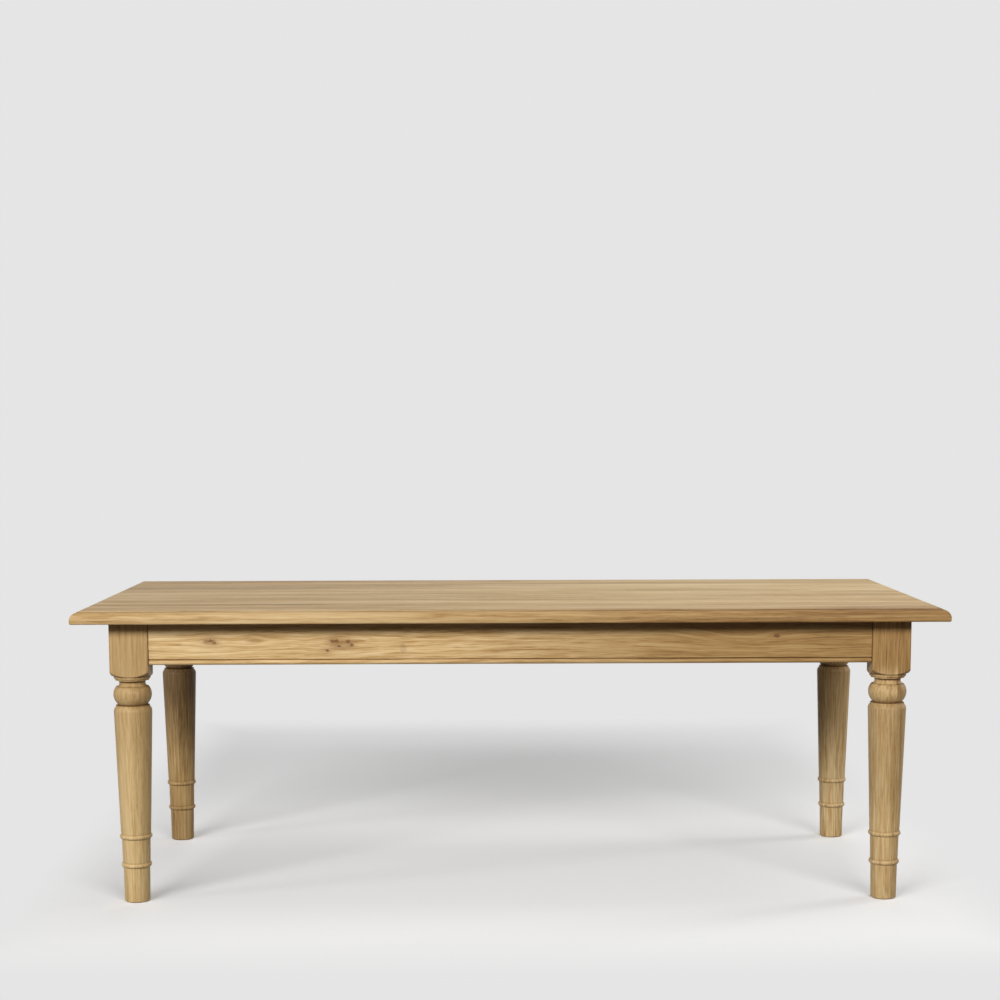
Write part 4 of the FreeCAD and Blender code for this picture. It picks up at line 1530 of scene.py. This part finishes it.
@dataclass
class Underframe:
    """Corner blocks, bearers and buttons that hold the table together under the top."""

    block_pith: tuple[float, float] = (-0.03, 0.05)
    block_seeds: tuple[float, float] = (51.0, 3.3)
    bearer_pith: tuple[float, float] = (0.02, -0.06)
    bearer_seeds: tuple[float, float] = (67.0, 4.1)
    button_pith: Place = (0.0, 0.0, 0.62)
    button_seed: float = 83.0
    button_ease: float = 0.001

    CORNERS = ("front_left", "front_right", "back_right", "back_left")

    def build(self) -> None:
        """Dress the blocks, the bearers and the buttons."""
        first, step = self.block_seeds
        for index, corner in enumerate(self.CORNERS):
            node = f"corner_block_{corner}"
            low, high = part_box(node)
            pith = (low.x + self.block_pith[0], high.y + self.block_pith[1], 0.0)
            self.dress(node, Grain.ALONG_Z, pith, first + step * index)
        first, step = self.bearer_seeds
        for index, side in enumerate(("left", "right")):
            node = f"bearer_{side}"
            low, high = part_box(node)
            middle = (low.x + high.x) / 2
            pith = (middle + self.bearer_pith[0], 0.0, low.z + self.bearer_pith[1])
            self.dress(node, Grain.ALONG_Y, pith, first + step * index)
        self.dress("top_buttons", Grain.ALONG_Y, self.button_pith, self.button_seed,
                   self.button_ease)

    @staticmethod
    def dress(node: str, grain: Grain, pith: Place, seed: float, ease: float = Timber.ease) -> None:
        """Dress one hidden piece in plain oak.

        Args:
            node: The piece's name.
            grain: The way that its grain runs.
            pith: Where the pith of its trunk is.
            seed: What sets its figure apart.
            ease: How far its arrises are eased.
        """
        oak = Oak(node, grain, pith, seed=seed, tone=Tone.RAW)
        Timber(node, oak, "oak_inner", ease=ease).build()


@dataclass
class Ironwork:
    """Screws, bolts, nuts and washers, set out on the axes of their solids."""

    screw_radius: float = 0.0025
    head_radius: float = 0.0048
    head_height: float = 0.003
    bolt_radius: float = 0.004
    nut: tuple[float, float] = (0.0075, 0.0065)
    washer: tuple[float, float] = (0.012, 0.002)
    screw_washer: tuple[float, float] = (0.007, 0.0015)
    clearance: float = 0.0001

    def build(self) -> None:
        """Make and seat every group of fixings."""
        steel = ZincSteel().material()

        def make(tree: Fixings, node: str, axes: Sequence[Axis], sizes: dict[str, float]) -> None:
            """Make one group and seat it on its solids."""
            piece = tree.set_on(f"{node}_steel", axes, {**sizes, "Steel": steel})
            seat(piece, node)

        screws = PanHeadScrews()
        for node in ("corner_block_screws", "button_screws", "bearer_screws"):
            axes = [long_axis(corners) for corners in islands(node)]
            make(screws, node, axes, {
                "Length": axes[0].length, "Radius": self.screw_radius,
                "Head Radius": self.head_radius, "Head Height": self.head_height})

        bolts = [long_axis(corners) for corners in islands("hanger_bolts")]
        make(HangerBolts(), "hanger_bolts", bolts,
             {"Length": bolts[0].length, "Radius": self.bolt_radius})

        washers = Washers()
        upright = [Axis(Vector((0, 0, 0)), Vector((0, 0, 1)), 0.0)]
        for tree, node, through, (radius, height), shank in (
                (HexagonNuts(), "bolt_nuts", bolts, self.nut, self.bolt_radius),
                (washers, "bolt_washers", bolts, self.washer, self.bolt_radius),
                (washers, "bearer_washers", upright, self.screw_washer, self.screw_radius)):
            make(tree, node, self.rings(node, through, height),
                 {"Height": height, "Radius": radius, "Bore": shank + self.clearance})

    @staticmethod
    def rings(node: str, bolts: Sequence[Axis], height: float) -> list[Axis]:
        """Axes of short rings, each taken from the bolt that runs through it.

        Args:
            node: The rings' shared name.
            bolts: The bolts' axes.
            height: The rings' height.

        Returns:
            The rings' axes.
        """
        found = []
        for corners in islands(node):
            middle = Vector((corners.min(axis=0) + corners.max(axis=0)) / 2)
            bolt = min(bolts, key=lambda axis: (middle - axis.start).length)
            found.append(Axis(middle - bolt.way * (height / 2), bolt.way, height))
        return found


@dataclass(frozen=True)
class SoftBox:
    """A soft box: where it hangs and points, its width and height, and its power in watts."""

    name: str
    place: Place
    target: Place
    size: tuple[float, float]
    power: float
    shine: bool = True

    def hang(self) -> None:
        """Hang the box out of the camera's sight, and out of reflections if it has no shine."""
        data = bpy.data.lights.new(self.name, "AREA")
        data.shape = "RECTANGLE"
        data.size, data.size_y = self.size
        data.energy = self.power
        lamp = bpy.data.objects.new(self.name, data)
        place = Vector(self.place)
        aim = (Vector(self.target) - place).to_track_quat("-Z", "Y")
        lamp.matrix_world = Matrix.LocRotScale(place, aim, None)
        lamp.visible_camera = False
        lamp.visible_glossy = self.shine
        bpy.context.scene.collection.objects.link(lamp)


@dataclass
class Studio:
    """A pale floor, soft light and the camera at the photograph's viewing angle."""

    pale: Colour = paint(229, 229, 229)
    camera_place: Place = (-0.06874, -5.37387, 1.21665)
    tilt_down: float = 0.119874
    turn_right: float = 0.008398
    roll: float = 0.002685
    lens: float = 70.777
    sensor: float = 36.0
    shift_up: float = 0.16279
    floor_half: float = 60.0
    floor_middle: tuple[float, float] = (0.0, 0.85)
    side_fade: tuple[float, float] = (0.98, 1.32)
    end_fade: tuple[float, float] = (1.45, 2.0)
    floor_lift: float = 0.205
    bounce: Colour = paint(84, 82, 80)
    world_level: float = 0.01

    BOXES = (
        SoftBox("left_box", (-4.5, -7.3, 4.05), (-0.2, 0.0, 0.5), (4.4, 1.8), 480.0),
        SoftBox("right_box", (3.0, -7.5, 4.05), (0.2, 0.0, 0.5), (4.4, 1.8), 330.0),
        SoftBox("left_side_box", (-7.0, -3.0, 1.9), (0.0, 0.0, 0.4), (1.2, 1.2), 65.0),
        SoftBox("right_side_box", (4.2, 1.2, 1.6), (0.6, 0.0, 0.4), (1.0, 0.8), 30.0),
        SoftBox("top_box", (1.2, 0.4, 3.3), (1.2, 0.3, 0.0), (3.6, 2.4), 28.0),
        SoftBox("back_box", (0.0, 6.0, 1.05), (0.0, 0.0, 0.45), (4.0, 1.0), 105.0, shine=False),
    )

    def build(self) -> None:
        """Set up the camera, the floor, the world and the lamps."""
        self.frame_camera()
        self.lay_floor()
        self.light_world()
        for box in self.BOXES:
            box.hang()
        bpy.context.scene.view_settings.view_transform = "Standard"

    def frame_camera(self) -> None:
        """Put the camera where the photograph was taken from."""
        flat = math.cos(self.tilt_down)
        ahead = Vector((math.sin(self.turn_right) * flat, math.cos(self.turn_right) * flat,
                        -math.sin(self.tilt_down)))
        level = Vector((math.cos(self.turn_right), -math.sin(self.turn_right), 0.0))
        down = ahead.cross(level)
        right = level * math.cos(self.roll) + down * math.sin(self.roll)
        below = down * math.cos(self.roll) - level * math.sin(self.roll)
        data = bpy.data.cameras.new("photograph")
        data.lens = self.lens
        data.sensor_width = self.sensor
        data.shift_y = self.shift_up
        camera = bpy.data.objects.new("photograph", data)
        camera.matrix_world = Matrix.LocRotScale(
            Vector(self.camera_place), Matrix((right, -below, -ahead)).transposed(), None)
        bpy.context.scene.collection.objects.link(camera)
        bpy.context.scene.camera = camera

    @staticmethod
    def seen(graph: Graph) -> Value:
        """One for rays that show the background: the camera's, mirrored and transmitted ones.

        Args:
            graph: The tree of the floor or the world.

        Returns:
            One for those rays, and nothing for the light that falls on the table.
        """
        path = graph.add("ShaderNodeLightPath").outputs
        camera, glossy, transmission = (
            Value(graph, path[name])
            for name in ("Is Camera Ray", "Is Glossy Ray", "Is Transmission Ray"))
        return graph.maths("MAXIMUM", graph.maths("MAXIMUM", camera, glossy), transmission)

    def lay_floor(self) -> None:
        """Lay a pale floor that fades into the background."""
        mesh = bpy.data.meshes.new("floor")
        half = self.floor_half
        corners = [(-half, -half, 0), (half, -half, 0), (half, half, 0), (-half, half, 0)]
        mesh.from_pydata(corners, [], [(0, 1, 2, 3)])
        floor = new_object("floor", mesh)
        made, graph = new_material("pale_floor")
        across, deep, _ = graph.object_place()
        aside = graph.smooth(abs(across - self.floor_middle[0]), *self.side_fade)
        beyond = graph.smooth(abs(deep - self.floor_middle[1]), *self.end_fade)
        dim = graph.add("ShaderNodeBsdfDiffuse", {}, {"Color": self.bounce})
        lit = graph.add("ShaderNodeBsdfDiffuse", {}, {"Color": WHITE})
        lift = graph.add("ShaderNodeEmission", {},
                         {"Color": self.pale, "Strength": self.floor_lift})
        near = graph.add("ShaderNodeAddShader", {}, {0: lit.outputs[0], 1: lift.outputs[0]})
        glow = graph.add("ShaderNodeEmission", {}, {"Color": self.pale, "Strength": 1.0})
        shown = graph.add("ShaderNodeMixShader", {}, {
            0: graph.maths("MAXIMUM", aside, beyond), 1: near.outputs[0], 2: glow.outputs[0]})
        graph.surface(graph.add("ShaderNodeMixShader", {}, {
            0: self.seen(graph), 1: dim.outputs[0], 2: shown.outputs[0]}))
        mesh.materials.append(made)

    def light_world(self) -> None:
        """Fill light from all round, and a pale background where it is seen."""
        world = bpy.data.worlds.new("studio")
        world.use_nodes = True
        graph = Graph(world.node_tree)
        fill = graph.add("ShaderNodeBackground", {},
                         {"Color": WHITE, "Strength": self.world_level})
        backdrop = graph.add("ShaderNodeBackground", {}, {"Color": self.pale, "Strength": 1.0})
        shader = graph.add("ShaderNodeMixShader", {}, {
            0: self.seen(graph), 1: fill.outputs[0], 2: backdrop.outputs[0]})
        graph.add("ShaderNodeOutputWorld", {}, {"Surface": shader.outputs[0]})
        bpy.context.scene.world = world


def main() -> None:
    """Build and dress the table, light it and frame it."""
    logging.basicConfig(level=logging.INFO, format="%(message)s")
    Studio().build()
    Top().build()
    Aprons().build()
    Legs().build()
    Underframe().build()
    Ironwork().build()


if __name__ == "__main__":
    main()
